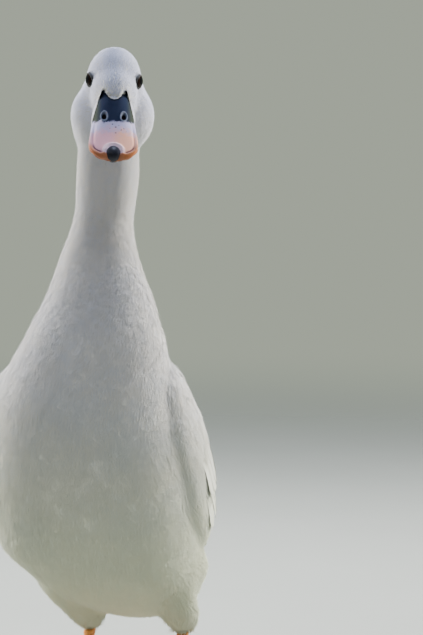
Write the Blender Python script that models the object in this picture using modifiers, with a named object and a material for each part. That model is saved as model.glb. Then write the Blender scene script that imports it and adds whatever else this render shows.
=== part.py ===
"""Indian runner duck, life size, standing upright and alert with its head turned to its left.

The bird faces -Y and its left side is +X. Driving sizes are millimetres and are turned into
metres when points are made. The trunk and neck are one loft through the stations below. The head
is a set of overlapping soft forms in a frame of its own, whose centre is midway between the eyes.
"""
import math

import bmesh
import bpy
from mathutils import Matrix, Vector

MM = 0.001
GAP = 0.3            # clearance between pieces that touch
NAME = "indian_runner_duck"

# Trunk and neck, tail end first: forward, height, half depth, half width
STATIONS = (
    (-100, 86, 18, 26),
    (-80, 89, 31, 39),
    (-52, 100, 44, 55),
    (-25, 118, 54, 63),
    (-2, 142, 58, 65.5),
    (16, 172, 55, 64.5),
    (30, 204, 46, 57),
    (35, 237, 36, 46),
    (33, 264, 27, 35),
    (28, 290, 20.5, 25),
    (24, 315, 18, 18.3),
    (22, 345, 18.5, 19),
    (20, 375, 17, 17),
)
TRUNK_END = 0.0
NECK_START = 8.0
NECK_END = 10.8
BODY_SIDES = 32
BODY_RINGS = 20
NECK_RINGS = 8
BODY_FULLNESS = 2.15
SLOPE_STEP = 0.02
CREASE_DEGREES = 40.0
# Sideways sway of the standing bird: height and offset to its left
SWAY = (
    (0, 6), (55, 6), (85, -5), (112, -15), (156, -14.5), (205, -12.5), (225, -9.5), (249, -5),
    (268, -3), (296, -4), (310, -3), (325, -1.2), (345, 0), (400, 2),
)

# Head frame
HEAD_AT = (7.4, -36.5, 398.7)
HEAD_YAW = 13.3
HEAD_PITCH = 16.0
HEAD_ROLL = 2.5
# Soft forms of the head: side offset, forward, up, then the three radii
HEAD_FORMS = (
    (0, -10, -1.4, 16.5, 26, 18.8),
    (0, -10, -14, 19.5, 26.5, 21),
    (9.2, -7, -24.5, 16.3, 22.5, 19.5),
    (-9.2, -7, -24.5, 16.3, 22.5, 19.5),
    (0, 8, -6, 14, 24.5, 17.2),
    (0, 8, -23, 12.5, 18, 9),
    (0, -19, -26, 18, 17, 22),
)
HEAD_VOXEL = 2.9
HEAD_SMOOTHING = 8
HEAD_FORM_SIDES = 32
HEAD_FORM_RINGS = 20
HEAD_STUB = 0.6       # stations of neck that the head's forms blend with
HEAD_CLEAR = 1.2      # gaps between the head and the neck's end
HEAD_DETAIL = 0.3

# Bill, in the head's frame: forward, half width, ridge height, edge height
BILL_STATIONS = (
    (12, 11.0, 3.0, -20.4),
    (22, 12.2, 1.6, -20.6),
    (30, 12.8, -1.4, -20.4),
    (40, 12.9, -5.6, -19.8),
    (50, 13.1, -9.8, -19.2),
    (60, 13.7, -13.2, -18.9),
    (68, 14.0, -15.3, -19.0),
    (74, 13.5, -16.6, -19.6),
    (78, 11.6, -17.6, -20.4),
    (81, 8.0, -18.9, -21.4),
    (82.6, 3.6, -20.4, -22.3),
)
BILL_STEP = 0.5
BILL_SIDES = 10
BILL_ROUNDNESS = 0.85
BILL_FLATNESS = ((14, 1.25), (76, 0.55))
BILL_UNDER = (0.92, 0.5)
BILL_RECESS = 4.5
BILL_LOWER_ROUNDNESS = 0.8
BILL_LOWER_WIDTH = 0.9
BILL_SEAM = 0.1
BILL_LOWER_DEPTH = ((12, 5.0), (40, 4.2), (70, 2.6), (79, 1.4))
NOSTRIL_AT = (5.7, 42.0, -8.0)
NOSTRIL_SIZE = (1.5, 3.4, 1.6)
NAIL_AT = (0.0, 78.4, -19.8)
NAIL_SIZE = (4.3, 5.6, 4.8)

# Eyes, in the head's frame
EYE_AT = (11.1, -0.5, 0.0)
EYE_RADIUS = 6.0
EYE_FORWARD = 20.0   # degrees that each eye's axis turns forward from the side
EYE_UPWARD = 0.12
LID_RADIUS = 4.7
LID_THICK = 0.75

# Legs: how far out and forward each point stands
THIGH_POINTS = ((31, -12, 112, 25), (31, -17, 86, 20), (30.5, -23, 65, 12.5), (30, -26, 54, 5.8))
SHANK_POINTS = ((30, -26.5, 58, 5.0), (30, -22, 48, 3.6), (30, -12, 24, 3.5), (30, -5, 9, 4.4))
LEG_SIDES = 12
THIGH_SIDES = 16
TOE_JOINT = (30, -4, 6)
TOES = (("inner", -21, 44), ("middle", 3, 56), ("outer", 27, 52))
WEB_HEIGHT = (0.9, 2.2)
TOE_PROFILE = ((0.0, 4.6), (0.3, 3.7), (0.45, 4.0), (0.62, 3.2), (0.78, 3.4), (1.0, 2.3))
TOE_HEIGHT = 0.86       # height of a toe's middle as a share of its radius
HUB_RADIUS = 5.6
WEB_SCOOP = 0.16
WEB_REACH = 0.94
WEB_HEEL = 4.0
CLAW_LENGTH = 8.0
CLAW_RADIUS = 1.7
CLAW_HEIGHT = 2.4
CLAW_TIP = 1.0
CLAW_TAPER = 0.82
CLAW_CURVE = 1.6
HIND_CLAW = 0.7
# Hind toe: distance from the joint, height, radius
HIND_TURN = 168.0
TOE_SIDES = 9
SMALL_SIDES = 8
HIND_TOE = ((2, 8, 2.6), (9, 8.5, 2.4), (15, 5.5, 2.1), (18, 4.2, 1.7))

# Folded wing: millimetres back from the shoulder, with degrees round the trunk or thickness
WING_FRONT = 6.65
STATION_STEP = 30.5
WING_MIDDLE = ((0, 77), (30, 71), (70, 65), (110, 57), (150, 45), (180, 34), (205, 25))
WING_HALF = ((0, 8), (10, 26), (30, 36), (70, 40), (110, 40), (150, 34), (180, 24), (205, 8))
WING_THICK = ((0, 1.2), (10, 4.2), (30, 6), (70, 7), (110, 5.6), (150, 4.2), (180, 3.1), (205, 1.2))
WING_EDGE = 0.9
WING_CLEAR = 1.0
WING_CORE = 140.0
WING_RINGS = 12
WING_CELLS = 8
WING_CROWDING = 1.25   # rings of the wing stand closer near the shoulder
# Tiers of vanes on each wing: count, then first and last root, tip, width, and rise at the tip.
# Roots and tips are millimetres back from the shoulder and down from the wing's middle.
WING_TIERS = (
    (5, (118, -6), (122, 8), (203, 0), (178, 12), 12, 1.2),
    (6, (96, -4), (104, 33), (178, -6), (146, 33), 19, 2.2),
    (6, (62, -6), (66, 35), (122, -10), (112, 38), 18, 2.6),
    (5, (30, -14), (34, 30), (82, -18), (78, 37), 19, 2.6),
    (3, (84, -25), (88, -9), (172, -12), (158, -2), 19, 4.0),
    (4, (18, -22), (46, -30), (92, -27), (128, -30), 20, 4.2),
)
VANE_SUNK = 2.6
VANE_THICK = 0.75
VANE_EDGE = 0.5
VANE_TILT = 1.5
VANE_LOWEST = 1.9
VANE_SEGMENTS = 3
VANE_OUTLINE = ((0, 0.62), (0.35, 0.9), (0.7, 1.0), (0.9, 0.78), (1.0, 0.34))

# Tail: where its sheet starts, then millimetres back with half width or half thickness
TAIL_AT = (-100, 86)
TAIL_DROOP = 14.0
TAIL_ARCH = 0.003
TAIL_WIDTH = ((0, 26), (20, 27), (48, 25))
TAIL_THICK = ((0, 18), (20, 11), (48, 5))
TAIL_CORE = 48.0
TAIL_RINGS = 5
TAIL_ROOT_SPREAD = 13.0
TAIL_STEP = 1.6
# Tiers of tail vanes: count, root and tip distance, spread of the tips in degrees, width, lifts
TAIL_TIERS = (
    (12, 22, 78, 17, 13, 0.0, 0.4),
    (4, 6, 52, 13, 17, 7.5, 3.6),
    (4, 6, 60, 13, 17, -7.5, -3.4),
)

COLOURS = {
    "plumage": ((0.80, 0.78, 0.74), 0.85),
    "bill": ((0.72, 0.38, 0.26), 0.35),
    "nail": ((0.02, 0.02, 0.025), 0.25),
    "eye": ((0.015, 0.01, 0.008), 0.05),
    "leg": ((0.75, 0.30, 0.06), 0.5),
    "claw": ((0.08, 0.06, 0.05), 0.4),
}


# Blender helpers

def clear_scene():
    for obj in list(bpy.data.objects):
        bpy.data.objects.remove(obj, do_unlink=True)


def make_material(name):
    colour, roughness = COLOURS[name]
    material = bpy.data.materials.new(name)
    material.use_nodes = True
    shader = material.node_tree.nodes["Principled BSDF"]
    shader.inputs["Base Color"].default_value = (*colour, 1.0)
    shader.inputs["Roughness"].default_value = roughness
    shader.inputs["Metallic"].default_value = 0.0
    return material


def add_object(name, mesh, collection):
    obj = bpy.data.objects.new(name, mesh)
    collection.objects.link(obj)
    return obj


def mesh_from_bmesh(name, bm):
    bmesh.ops.recalc_face_normals(bm, faces=bm.faces)
    mesh = bpy.data.meshes.new(name)
    bm.to_mesh(mesh)
    bm.free()
    return mesh


def bake_modifiers(obj):
    """Put the evaluated mesh in the object and drop its modifiers."""
    bpy.context.view_layer.update()
    evaluated = obj.evaluated_get(bpy.context.evaluated_depsgraph_get())
    mesh = bpy.data.meshes.new_from_object(evaluated)
    obj.modifiers.clear()
    obj.data = mesh


def keep_largest_shell(obj):
    """Keep only the closed surface with the most volume."""
    bm = bmesh.new()
    bm.from_mesh(obj.data)
    left = set(bm.faces)
    shells = []
    while left:
        seed = left.pop()
        shell = [seed]
        queue = [seed]
        while queue:
            for edge in queue.pop().edges:
                if len(edge.link_faces) != 2:
                    continue
                for face in edge.link_faces:
                    if face in left:
                        left.remove(face)
                        shell.append(face)
                        queue.append(face)
        shells.append(shell)

    def volume(shell):
        total = 0.0
        for face in shell:
            first = face.verts[0].co
            for a, b in zip(face.verts[1:-1], face.verts[2:]):
                total += first.dot(a.co.cross(b.co))
        return abs(total)

    shells.sort(key=volume, reverse=True)
    loose = [face for shell in shells[1:] for face in shell]
    bmesh.ops.delete(bm, geom=loose, context="FACES")
    bm.to_mesh(obj.data)
    bm.free()


def boolean(obj, operation, cutters):
    """One Boolean with a collection of closed meshes, applied, and the meshes removed."""
    tools = bpy.data.collections.new("tools")
    bpy.context.scene.collection.children.link(tools)
    for cutter in cutters:
        for owner in list(cutter.users_collection):
            owner.objects.unlink(cutter)
        tools.objects.link(cutter)
    modifier = obj.modifiers.new("join", "BOOLEAN")
    modifier.operation = operation
    modifier.operand_type = "COLLECTION"
    modifier.collection = tools
    modifier.solver = "EXACT"
    modifier.use_self = operation == "UNION"
    bake_modifiers(obj)
    for cutter in list(tools.objects):
        bpy.data.objects.remove(cutter, do_unlink=True)
    bpy.data.collections.remove(tools)
    keep_largest_shell(obj)


# Curves through the named sizes

def at_stations(stations, u):
    """Catmull-Rom value of every column at station number u."""
    last = len(stations) - 1
    low = max(0, min(last - 1, int(math.floor(u))))
    t = u - low
    rows = [stations[max(0, min(last, low + k))] for k in (-1, 0, 1, 2)]
    return [
        0.5 * (2 * b + (c - a) * t + (2 * a - 5 * b + 4 * c - d) * t * t
               + (3 * b - a - 3 * c + d) * t ** 3)
        for a, b, c, d in zip(*rows)
    ]


def at_key(table, key):
    """Smooth value of a two-column table at a key."""
    if key <= table[0][0]:
        return table[0][1]
    for (k0, v0), (k1, v1) in zip(table, table[1:]):
        if key <= k1:
            t = (key - k0) / (k1 - k0)
            return v0 + (v1 - v0) * t * t * (3 - 2 * t)
    return table[-1][1]


def signed_power(value, power):
    return math.copysign(abs(value) ** power, value)


def stand(side, forward, height):
    """A point of the standing bird, in metres, with the sway of its body."""
    return Vector((side + at_key(SWAY, height), -forward, height)) * MM


def body_local(u, angle, grow=0.0):
    """Side, forward and height on the trunk; angle 0 is the back, positive to the left."""
    forward, height, depth, width = at_stations(STATIONS, u)
    ahead = at_stations(STATIONS, u + SLOPE_STEP)
    behind = at_stations(STATIONS, u - SLOPE_STEP)
    run = Vector((ahead[0] - behind[0], ahead[1] - behind[1])).normalized()
    power = 2 / BODY_FULLNESS
    out = (depth + grow) * signed_power(math.cos(angle), power)
    side = (width + grow) * signed_power(math.sin(angle), power)
    return Vector((side, forward - run.y * out, height + run.x * out))


def body_point(u, angle, lift=0.0):
    """A point in metres at a height over the trunk's surface."""
    here = body_local(u, angle)
    if lift:
        along = body_local(u + SLOPE_STEP, angle) - body_local(u - SLOPE_STEP, angle)
        around = body_local(u, angle + SLOPE_STEP) - body_local(u, angle - SLOPE_STEP)
        normal = along.cross(around).normalized()
        middle = Vector((0, *at_stations(STATIONS, u)[:2]))
        if normal.dot(here - middle) < 0:
            normal.negate()
        here = here + normal * lift
    return stand(*here)


HEAD_MATRIX = (
    Matrix.Translation(Vector(HEAD_AT) * MM)
    @ Matrix.Rotation(math.radians(HEAD_YAW), 4, "Z")
    @ Matrix.Rotation(math.radians(HEAD_PITCH), 4, "X")
    @ Matrix.Rotation(math.radians(HEAD_ROLL), 4, "Y")
)


def head_point(side, forward, up):
    return HEAD_MATRIX @ (Vector((side, -forward, up)) * MM)


def loft(name, rings, collection):
    """A closed solid through rings of equal point counts, with flat ends."""
    bm = bmesh.new()
    loops = [[bm.verts.new(point) for point in ring] for ring in rings]
    count = len(loops[0])
    for lower, upper in zip(loops, loops[1:]):
        for i in range(count):
            j = (i + 1) % count
            bm.faces.new((lower[i], lower[j], upper[j], upper[i]))
    bm.faces.new(loops[0])
    bm.faces.new(loops[-1])
    return add_object(name, mesh_from_bmesh(name, bm), collection)


def body_ring(u, grow=0.0):
    angles = (math.tau * i / BODY_SIDES for i in range(BODY_SIDES))
    return [stand(*body_local(u, angle, grow)) for angle in angles]


def body_loft(name, start, end, rings, collection, grow=0.0):
    steps = [start + (end - start) * i / rings for i in range(rings + 1)]
    return loft(name, [body_ring(u, grow) for u in steps], collection)


def tube(name, points, collection, sides=12, flatten=1.0, place=stand):
    """A tapered round limb through points with a radius each."""
    centres = [place(*point[:3]) for point in points]
    rings = []
    for index, point in enumerate(points):
        before = centres[max(0, index - 1)]
        after = centres[min(len(points) - 1, index + 1)]
        axis = (after - before).normalized()
        across = Vector((1, 0, 0))
        across = (across - axis * across.dot(axis)).normalized()
        third = axis.cross(across)
        radius = point[3] * MM
        rings.append([
            centres[index] + across * (radius * flatten * math.cos(turn))
            + third * (radius * math.sin(turn))
            for turn in (math.tau * k / sides for k in range(sides))
        ])
    return loft(name, rings, collection)


def ball(name, matrix, collection, segments=20, rings=12):
    bm = bmesh.new()
    bmesh.ops.create_uvsphere(bm, u_segments=segments, v_segments=rings, radius=1.0, matrix=matrix)
    return add_object(name, mesh_from_bmesh(name, bm), collection)


def head_ball(name, centre, radii, collection, grow=0.0, segments=14, rings=9, turn=None):
    scale = Matrix.Diagonal(((radii[0] + grow) * MM, (radii[1] + grow) * MM, (radii[2] + grow) * MM, 1))
    place = Matrix.Translation(Vector((centre[0], -centre[1], centre[2])) * MM)
    matrix = HEAD_MATRIX @ place @ (turn or Matrix.Identity(4)) @ scale
    return ball(name, matrix, collection, segments, rings)


# Head and bill

def make_head(collection):
    forms = [
        head_ball("form", row[:3], row[3:], collection, segments=HEAD_FORM_SIDES, rings=HEAD_FORM_RINGS)
        for row in HEAD_FORMS
    ]
    stub = body_loft("stub", NECK_END - HEAD_STUB, len(STATIONS) - 1.0, NECK_RINGS, collection)
    bm = bmesh.new()
    for form in (*forms, stub):
        bm.from_mesh(form.data)
        bpy.data.objects.remove(form, do_unlink=True)
    head = add_object("head", mesh_from_bmesh("head", bm), collection)
    remesh = head.modifiers.new("blend", "REMESH")
    remesh.mode = "VOXEL"
    remesh.voxel_size = HEAD_VOXEL * MM
    smooth = head.modifiers.new("soften", "SMOOTH")
    smooth.factor = 0.5
    smooth.iterations = HEAD_SMOOTHING
    thin_out = head.modifiers.new("thin_out", "DECIMATE")
    thin_out.ratio = HEAD_DETAIL
    bake_modifiers(head)
    cut_head_at_neck(head)
    return head


def cut_head_at_neck(head):
    """End the head on the flat where the neck ends, with the gap between them."""
    ring = body_ring(NECK_END)
    centre = sum(ring, Vector()) / len(ring)
    axis = (ring[BODY_SIDES // 4] - centre).cross(ring[0] - centre).normalized()
    if axis.z < 0:
        axis.negate()
    bm = bmesh.new()
    bm.from_mesh(head.data)
    cut = bmesh.ops.bisect_plane(
        bm, geom=bm.verts[:] + bm.edges[:] + bm.faces[:], dist=1e-7,
        plane_co=centre + axis * HEAD_CLEAR * GAP * MM, plane_no=axis, clear_inner=True,
    )
    edges = [item for item in cut["geom_cut"] if isinstance(item, bmesh.types.BMEdge)]
    bmesh.ops.contextual_create(bm, geom=edges)
    bmesh.ops.recalc_face_normals(bm, faces=bm.faces)
    bm.to_mesh(head.data)
    bm.free()


def bill_ring(u, grow=0.0):
    """One section of the upper bill: over the ridge, then back along the flat underside."""
    forward, width, ridge, edge = at_stations(BILL_STATIONS, u)
    width += grow
    ridge += grow
    edge -= grow
    flatness = at_key(BILL_FLATNESS, forward)
    ring = []
    for i in range(BILL_SIDES + 1):
        turn = math.pi * i / BILL_SIDES
        side = width * signed_power(math.cos(turn), BILL_ROUNDNESS)
        up = edge + (ridge - edge) * max(0.0, math.sin(turn)) ** flatness
        ring.append(head_point(side, forward, up))
    for i in range(1, 4):
        side = -width * (1 - i / 2)
        ring.append(head_point(side * BILL_UNDER[0], forward, edge - BILL_UNDER[1]))
    return ring


def bill_steps(end, grow):
    """Station numbers along the bill; a grown copy also reaches further back."""
    steps = [BILL_STEP * i for i in range(round(end / BILL_STEP) + 1)]
    if grow:
        steps[0] = -0.1 * grow
    return steps


def bill_upper_loft(name, collection, grow=0.0, end=10.0):
    return loft(name, [bill_ring(u, grow) for u in bill_steps(end, grow)], collection)


def bill_lower_loft(name, collection, grow=0.0, end=8.5):
    rings = []
    for u in bill_steps(end, grow):
        forward, width, _, edge = at_stations(BILL_STATIONS, u)
        depth = at_key(BILL_LOWER_DEPTH, forward) + 2 * grow
        width = width * BILL_LOWER_WIDTH + grow
        top = edge - BILL_UNDER[1] - GAP - BILL_SEAM + grow
        ring = []
        for k in range(9):
            turn = math.pi * k / 8
            drop = depth * math.sin(turn) ** BILL_LOWER_ROUNDNESS
            ring.append(head_point(width * math.cos(turn), forward, top - drop))
        rings.append(ring)
    return loft(name, rings, collection)


def nail_ball(name, collection, grow=0.0):
    return head_ball(name, NAIL_AT, NAIL_SIZE, collection, grow, segments=16, rings=10)


def make_bill(collection):
    upper = bill_upper_loft("bill_upper", collection)
    holes = [
        head_ball("hole", (side * NOSTRIL_AT[0], *NOSTRIL_AT[1:]), NOSTRIL_SIZE, collection,
                  segments=12, rings=8)
        for side in (1, -1)
    ]
    boolean(upper, "DIFFERENCE", [*holes, nail_ball("seat", collection, GAP)])
    lower = bill_lower_loft("bill_lower", collection)
    boolean(lower, "DIFFERENCE", [nail_ball("seat", collection, GAP)])
    nail_ball("bill_nail", collection)


def eye_turn(side):
    """Turns the ball's third axis out along the eye's own axis."""
    turn = math.radians(EYE_FORWARD)
    out = Vector((math.cos(turn) * side, -math.sin(turn), EYE_UPWARD))
    return out.to_track_quat("Z", "Y").to_matrix().to_4x4()


def lid_ring(side, collection):
    """The rim of both lids, a flattened ring round the opening."""
    bm = bmesh.new()
    turns = 20
    around = 8
    centre = Vector((EYE_AT[0] * side, -EYE_AT[1], EYE_AT[2]))
    depth = math.sqrt(EYE_RADIUS ** 2 - LID_RADIUS ** 2)
    loops = []
    for i in range(turns):
        a = math.tau * i / turns
        loop = []
        for k in range(around):
            b = math.tau * k / around
            reach = LID_RADIUS + LID_THICK * math.cos(b)
            point = Vector((reach * math.cos(a), reach * math.sin(a), depth + LID_THICK * math.sin(b)))
            loop.append(bm.verts.new(HEAD_MATRIX @ ((centre + eye_turn(side) @ point) * MM)))
        loops.append(loop)
    for i in range(turns):
        j = (i + 1) % turns
        for k in range(around):
            m = (k + 1) % around
            bm.faces.new((loops[i][k], loops[j][k], loops[j][m], loops[i][m]))
    return add_object("lid", mesh_from_bmesh("lid", bm), collection)


def make_eyes(head, collection):
    boolean(head, "UNION", [lid_ring(side, collection) for side in (1, -1)])
    radii = (EYE_RADIUS, EYE_RADIUS, EYE_RADIUS)
    sockets = []
    eyes = []
    for name, side in (("eye_left", 1), ("eye_right", -1)):
        centre = (EYE_AT[0] * side, EYE_AT[1], EYE_AT[2])
        turn = eye_turn(side)
        sockets.append(head_ball("socket", centre, radii, collection, grow=GAP, turn=turn))
        eyes.append(head_ball(name, centre, radii, collection, turn=turn))
    boolean(head, "DIFFERENCE", sockets)
    return eyes


# Wings and tail

def wing_point(side, along, across, lift):
    """A point over the trunk: millimetres back from the shoulder, down from the wing's middle."""
    u = WING_FRONT - along / STATION_STEP
    _, _, depth, width = at_stations(STATIONS, u)
    middle = math.radians(at_key(WING_MIDDLE, along))
    angle = middle + across / (0.5 * (depth + width))
    return body_point(u, side * angle, WING_CLEAR + lift)


def wing_half_span(along):
    """Half the wing's breadth in millimetres."""
    _, _, depth, width = at_stations(STATIONS, WING_FRONT - along / STATION_STEP)
    return math.radians(at_key(WING_HALF, along)) * 0.5 * (depth + width)


def wing_top(along, across):
    """Height of the folded wing over the trunk."""
    reach = min(0.995, abs(across) / wing_half_span(along))
    return WING_EDGE + at_key(WING_THICK, along) * math.sqrt(1 - reach * reach)


def wing_core(name, side, end, collection):
    """The folded wing under its feathers, a shell that follows the trunk."""
    rings = []
    for i in range(WING_RINGS + 1):
        along = end * (i / WING_RINGS) ** WING_CROWDING
        half = wing_half_span(along)
        steps = [half * math.sin(math.pi / 2 * (2 * k / WING_CELLS - 1)) for k in range(WING_CELLS + 1)]
        top = [wing_point(side, along, b, wing_top(along, b)) for b in steps]
        under = [wing_point(side, along, b, 0.0) for b in reversed(steps)]
        rings.append(top + under)
    return loft(name, rings, collection)


def vane(sheet, root, tip, width, heights, tilt, collection):
    """A flight feather: a thin tapering blade from root to tip over a sheet, with a low shaft ridge."""
    run = Vector((tip[0] - root[0], tip[1] - root[1]))
    length = run.length
    run.normalize()
    aside = Vector((-run.y, run.x))
    rings = []
    for i in range(VANE_SEGMENTS + 1):
        t = i / VANE_SEGMENTS
        half = 0.5 * width * at_key(VANE_OUTLINE, t)
        rows = ([], [])
        for q in (-1, 0, 1):
            spot = Vector(root) + run * length * t + aside * half * q
            lift = heights(t, spot) + tilt * q
            thick = VANE_THICK if q == 0 else VANE_EDGE
            rows[0].append(sheet(spot.x, spot.y, lift))
            rows[1].append(sheet(spot.x, spot.y, lift - thick))
        rings.append(rows[0] + rows[1][::-1])
    return blade("vane", rings, collection)


def blade(name, rings, collection):
    """A thin closed strip whose upper and lower faces are split along the same diagonals."""
    bm = bmesh.new()
    loops = [[bm.verts.new(point) for point in ring] for ring in rings]
    count = len(loops[0])
    for lower, upper in zip(loops, loops[1:]):
        for i in range(count):
            j = (i + 1) % count
            if i < count // 2:
                bm.faces.new((lower[i], lower[j], upper[j]))
                bm.faces.new((lower[i], upper[j], upper[i]))
            else:
                bm.faces.new((lower[i], lower[j], upper[i]))
                bm.faces.new((lower[j], upper[j], upper[i]))
    for end in (loops[0], loops[-1]):
        a, b, c, d, e, f = end
        for quad in ((a, b, e, f), (b, c, d, e)):
            bm.faces.new(quad)
    return add_object(name, mesh_from_bmesh(name, bm), collection)


def between(first, last, t):
    return tuple(a + (b - a) * t for a, b in zip(first, last))


def wing_vanes(side, collection):
    """Primaries, secondaries, coverts, tertials and scapulars, each tier over the one behind it."""
    vanes = []

    def sheet(along, across, lift):
        return wing_point(side, along, across, lift)

    for count, root_a, root_b, tip_a, tip_b, width, rise in WING_TIERS:
        for k in range(count):
            t = k / (count - 1)

            def heights(s, spot, rise=rise):
                lift = wing_top(spot.x, spot.y) - VANE_SUNK * (1 - s) ** 2 + rise * s
                return max(lift, VANE_LOWEST)

            vanes.append(vane(sheet, between(root_a, root_b, t), between(tip_a, tip_b, t),
                              width, heights, -VANE_TILT / 2, collection))
    return vanes


def tail_vanes(collection):
    """Two mirrored fans of tail feathers with their coverts over and under them."""
    vanes = []
    for count, root, tip, spread, width, lift_root, lift_tip in TAIL_TIERS:
        for k in range(count):
            place = (k + 0.5) / count * 2 - 1
            side = 1 if place > 0 else -1
            turn = math.radians(spread * place)
            start = (root, TAIL_ROOT_SPREAD * place)
            end = (tip * math.cos(turn), tip * math.sin(turn))
            under = -1 if lift_root < 0 else 1

            def heights(s, spot, low=lift_root, high=lift_tip, out=abs(place)):
                return low + (high - low) * s - TAIL_STEP * out * s

            tilt = side * under * VANE_TILT / 2
            vanes.append(vane(tail_point, start, end, width, heights, tilt, collection))
    return vanes


def tail_point(along, across, lift):
    """A point of the tail: millimetres back from the rump, to the left and over its arched sheet."""
    droop = math.radians(TAIL_DROOP)
    forward = TAIL_AT[0] - along * math.cos(droop) - lift * math.sin(droop)
    height = TAIL_AT[1] - along * math.sin(droop) + (lift - TAIL_ARCH * across * across) * math.cos(droop)
    return stand(across, forward, height)


def tail_core(name, end, collection):
    """The rump's end and the tail's thick root, from the trunk's flat end."""
    first = body_ring(TRUNK_END)
    inner = body_ring(TRUNK_END + SLOPE_STEP)
    back = (sum(first, Vector()) - sum(inner, Vector())).normalized()
    rings = [[point + back * GAP * MM for point in first]]
    for i in range(1, TAIL_RINGS + 1):
        along = end * i / TAIL_RINGS
        width = at_key(TAIL_WIDTH, along)
        thick = at_key(TAIL_THICK, along)
        ring = []
        for k in range(BODY_SIDES):
            angle = math.tau * k / BODY_SIDES
            across = width * math.sin(angle)
            ring.append(tail_point(along, across, thick * math.cos(angle)))
        rings.append(ring)
    return loft(name, rings, collection)


# Legs and feet

def make_legs(collection):
    made = []
    for name, side in (("left", 1), ("right", -1)):
        thigh = tube("thigh_" + name, [(p[0] * side, *p[1:]) for p in THIGH_POINTS], collection,
                     THIGH_SIDES)
        cutter = body_loft("cutter", TRUNK_END, NECK_START, BODY_RINGS, collection, grow=2 * GAP)
        boolean(thigh, "DIFFERENCE", [cutter])
        shank = tube("shank_" + name, [(p[0] * side, *p[1:]) for p in SHANK_POINTS], collection,
                     LEG_SIDES)
        knee = tube("knee", [(p[0] * side, p[1], p[2], p[3] + GAP) for p in THIGH_POINTS], collection,
                    THIGH_SIDES)
        boolean(shank, "DIFFERENCE", [knee, *foot_hub("cut", side, GAP, collection)])
        foot, claws = make_foot(name, side, collection)
        made += [thigh, shank, foot, *claws]
    return made


def foot_point(side, turn, along, height):
    """A point along a toe: degrees turned outward from straight ahead, millimetres from the joint."""
    turn = math.radians(turn)
    out, forward, _ = TOE_JOINT
    return (side * (out + along * math.sin(turn)), forward + along * math.cos(turn), height)


def foot_hub(name, side, grow, collection):
    """The ball of the foot and the small hind toe."""
    out, forward, height = TOE_JOINT
    scale = Matrix.Diagonal(((HUB_RADIUS + grow) * MM,) * 3 + (1,))
    hub = ball(name, Matrix.Translation(stand(side * out, forward, height)) @ scale, collection,
               TOE_SIDES, SMALL_SIDES)
    path = [(*foot_point(side, HIND_TURN, along, up), radius + grow) for along, up, radius in HIND_TOE]
    return hub, tube(name, path, collection, SMALL_SIDES)


def settle(obj):
    """Flatten what would reach under the floor into a small sole."""
    for vertex in obj.data.vertices:
        vertex.co.z = max(vertex.co.z, 0.0)


def make_web(side, collection):
    """The skin between the three front toes, scooped back between their tips."""
    outline = [stand(*foot_point(side, 180, WEB_HEEL, WEB_HEIGHT[0]))]
    steps = 6
    for (_, turn_a, length_a), (_, turn_b, length_b) in zip(TOES, TOES[1:]):
        for k in range(steps + 1):
            t = k / steps
            scoop = 1 - WEB_SCOOP * math.sin(math.pi * t)
            reach = (length_a + (length_b - length_a) * t) * WEB_REACH * scoop
            turn = turn_a + (turn_b - turn_a) * t
            outline.append(stand(*foot_point(side, turn, reach, WEB_HEIGHT[0])))
        outline.pop()
    last = TOES[-1]
    outline.append(stand(*foot_point(side, last[1], last[2] * WEB_REACH, WEB_HEIGHT[0])))
    bm = bmesh.new()
    face = bm.faces.new([bm.verts.new(point) for point in outline])
    grown = bmesh.ops.extrude_face_region(bm, geom=[face])
    for item in grown["geom"]:
        if isinstance(item, bmesh.types.BMVert):
            item.co.z += (WEB_HEIGHT[1] - WEB_HEIGHT[0]) * MM
    return add_object("web", mesh_from_bmesh("web", bm), collection)


def make_foot(name, side, collection):
    foot, hind = foot_hub("foot_" + name, side, 0.0, collection)
    pieces = [hind, make_web(side, collection)]
    claws = []
    for toe, turn, length in TOES:
        path = []
        for t, radius in TOE_PROFILE:
            path.append((*foot_point(side, turn, length * t, radius * TOE_HEIGHT), radius))
        pieces.append(tube("toe", path, collection, TOE_SIDES))
        claws.append(make_claw(f"claw_{name}_{toe}", side, turn, length + GAP, CLAW_HEIGHT, collection))
    for piece in pieces:
        settle(piece)
    boolean(foot, "UNION", pieces)
    settle(foot)
    end = HIND_TOE[-1]
    claws.append(make_claw(f"claw_{name}_hind", side, HIND_TURN, end[0] + GAP, end[1], collection,
                           HIND_CLAW))
    return foot, claws


def make_claw(name, side, turn, start, height, collection, size=1.0):
    path = []
    for k in range(5):
        t = k / 4
        along = start + CLAW_LENGTH * size * t
        up = CLAW_TIP + (height - CLAW_TIP) * (1 - t ** CLAW_CURVE)
        path.append((*foot_point(side, turn, along, up), CLAW_RADIUS * size * (1 - CLAW_TAPER * t)))
    return tube(name, path, collection, SMALL_SIDES)


# The whole bird

def colour_of(name):
    if name.startswith("claw"):
        return "claw"
    if name.startswith("eye"):
        return "eye"
    if name == "bill_nail":
        return "nail"
    if name.startswith("bill"):
        return "bill"
    if name.startswith(("shank", "foot")):
        return "leg"
    return "plumage"


def finish_nodes(collection):
    """Centre the bird over the origin, standing on the floor, and give each node its material."""
    points = [vertex.co for obj in collection.objects for vertex in obj.data.vertices]
    low = Vector(min(p[k] for p in points) for k in range(3))
    high = Vector(max(p[k] for p in points) for k in range(3))
    shift = Matrix.Translation(-Vector(((low.x + high.x) / 2, (low.y + high.y) / 2, low.z)))
    for obj in collection.objects:
        obj.data.transform(shift)
        material = make_material(colour_of(obj.name))
        material.name = obj.name
        obj.data.materials.clear()
        obj.data.materials.append(material)
        obj.data.shade_smooth()
        obj.data.set_sharp_from_angle(angle=math.radians(CREASE_DEGREES))


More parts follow.
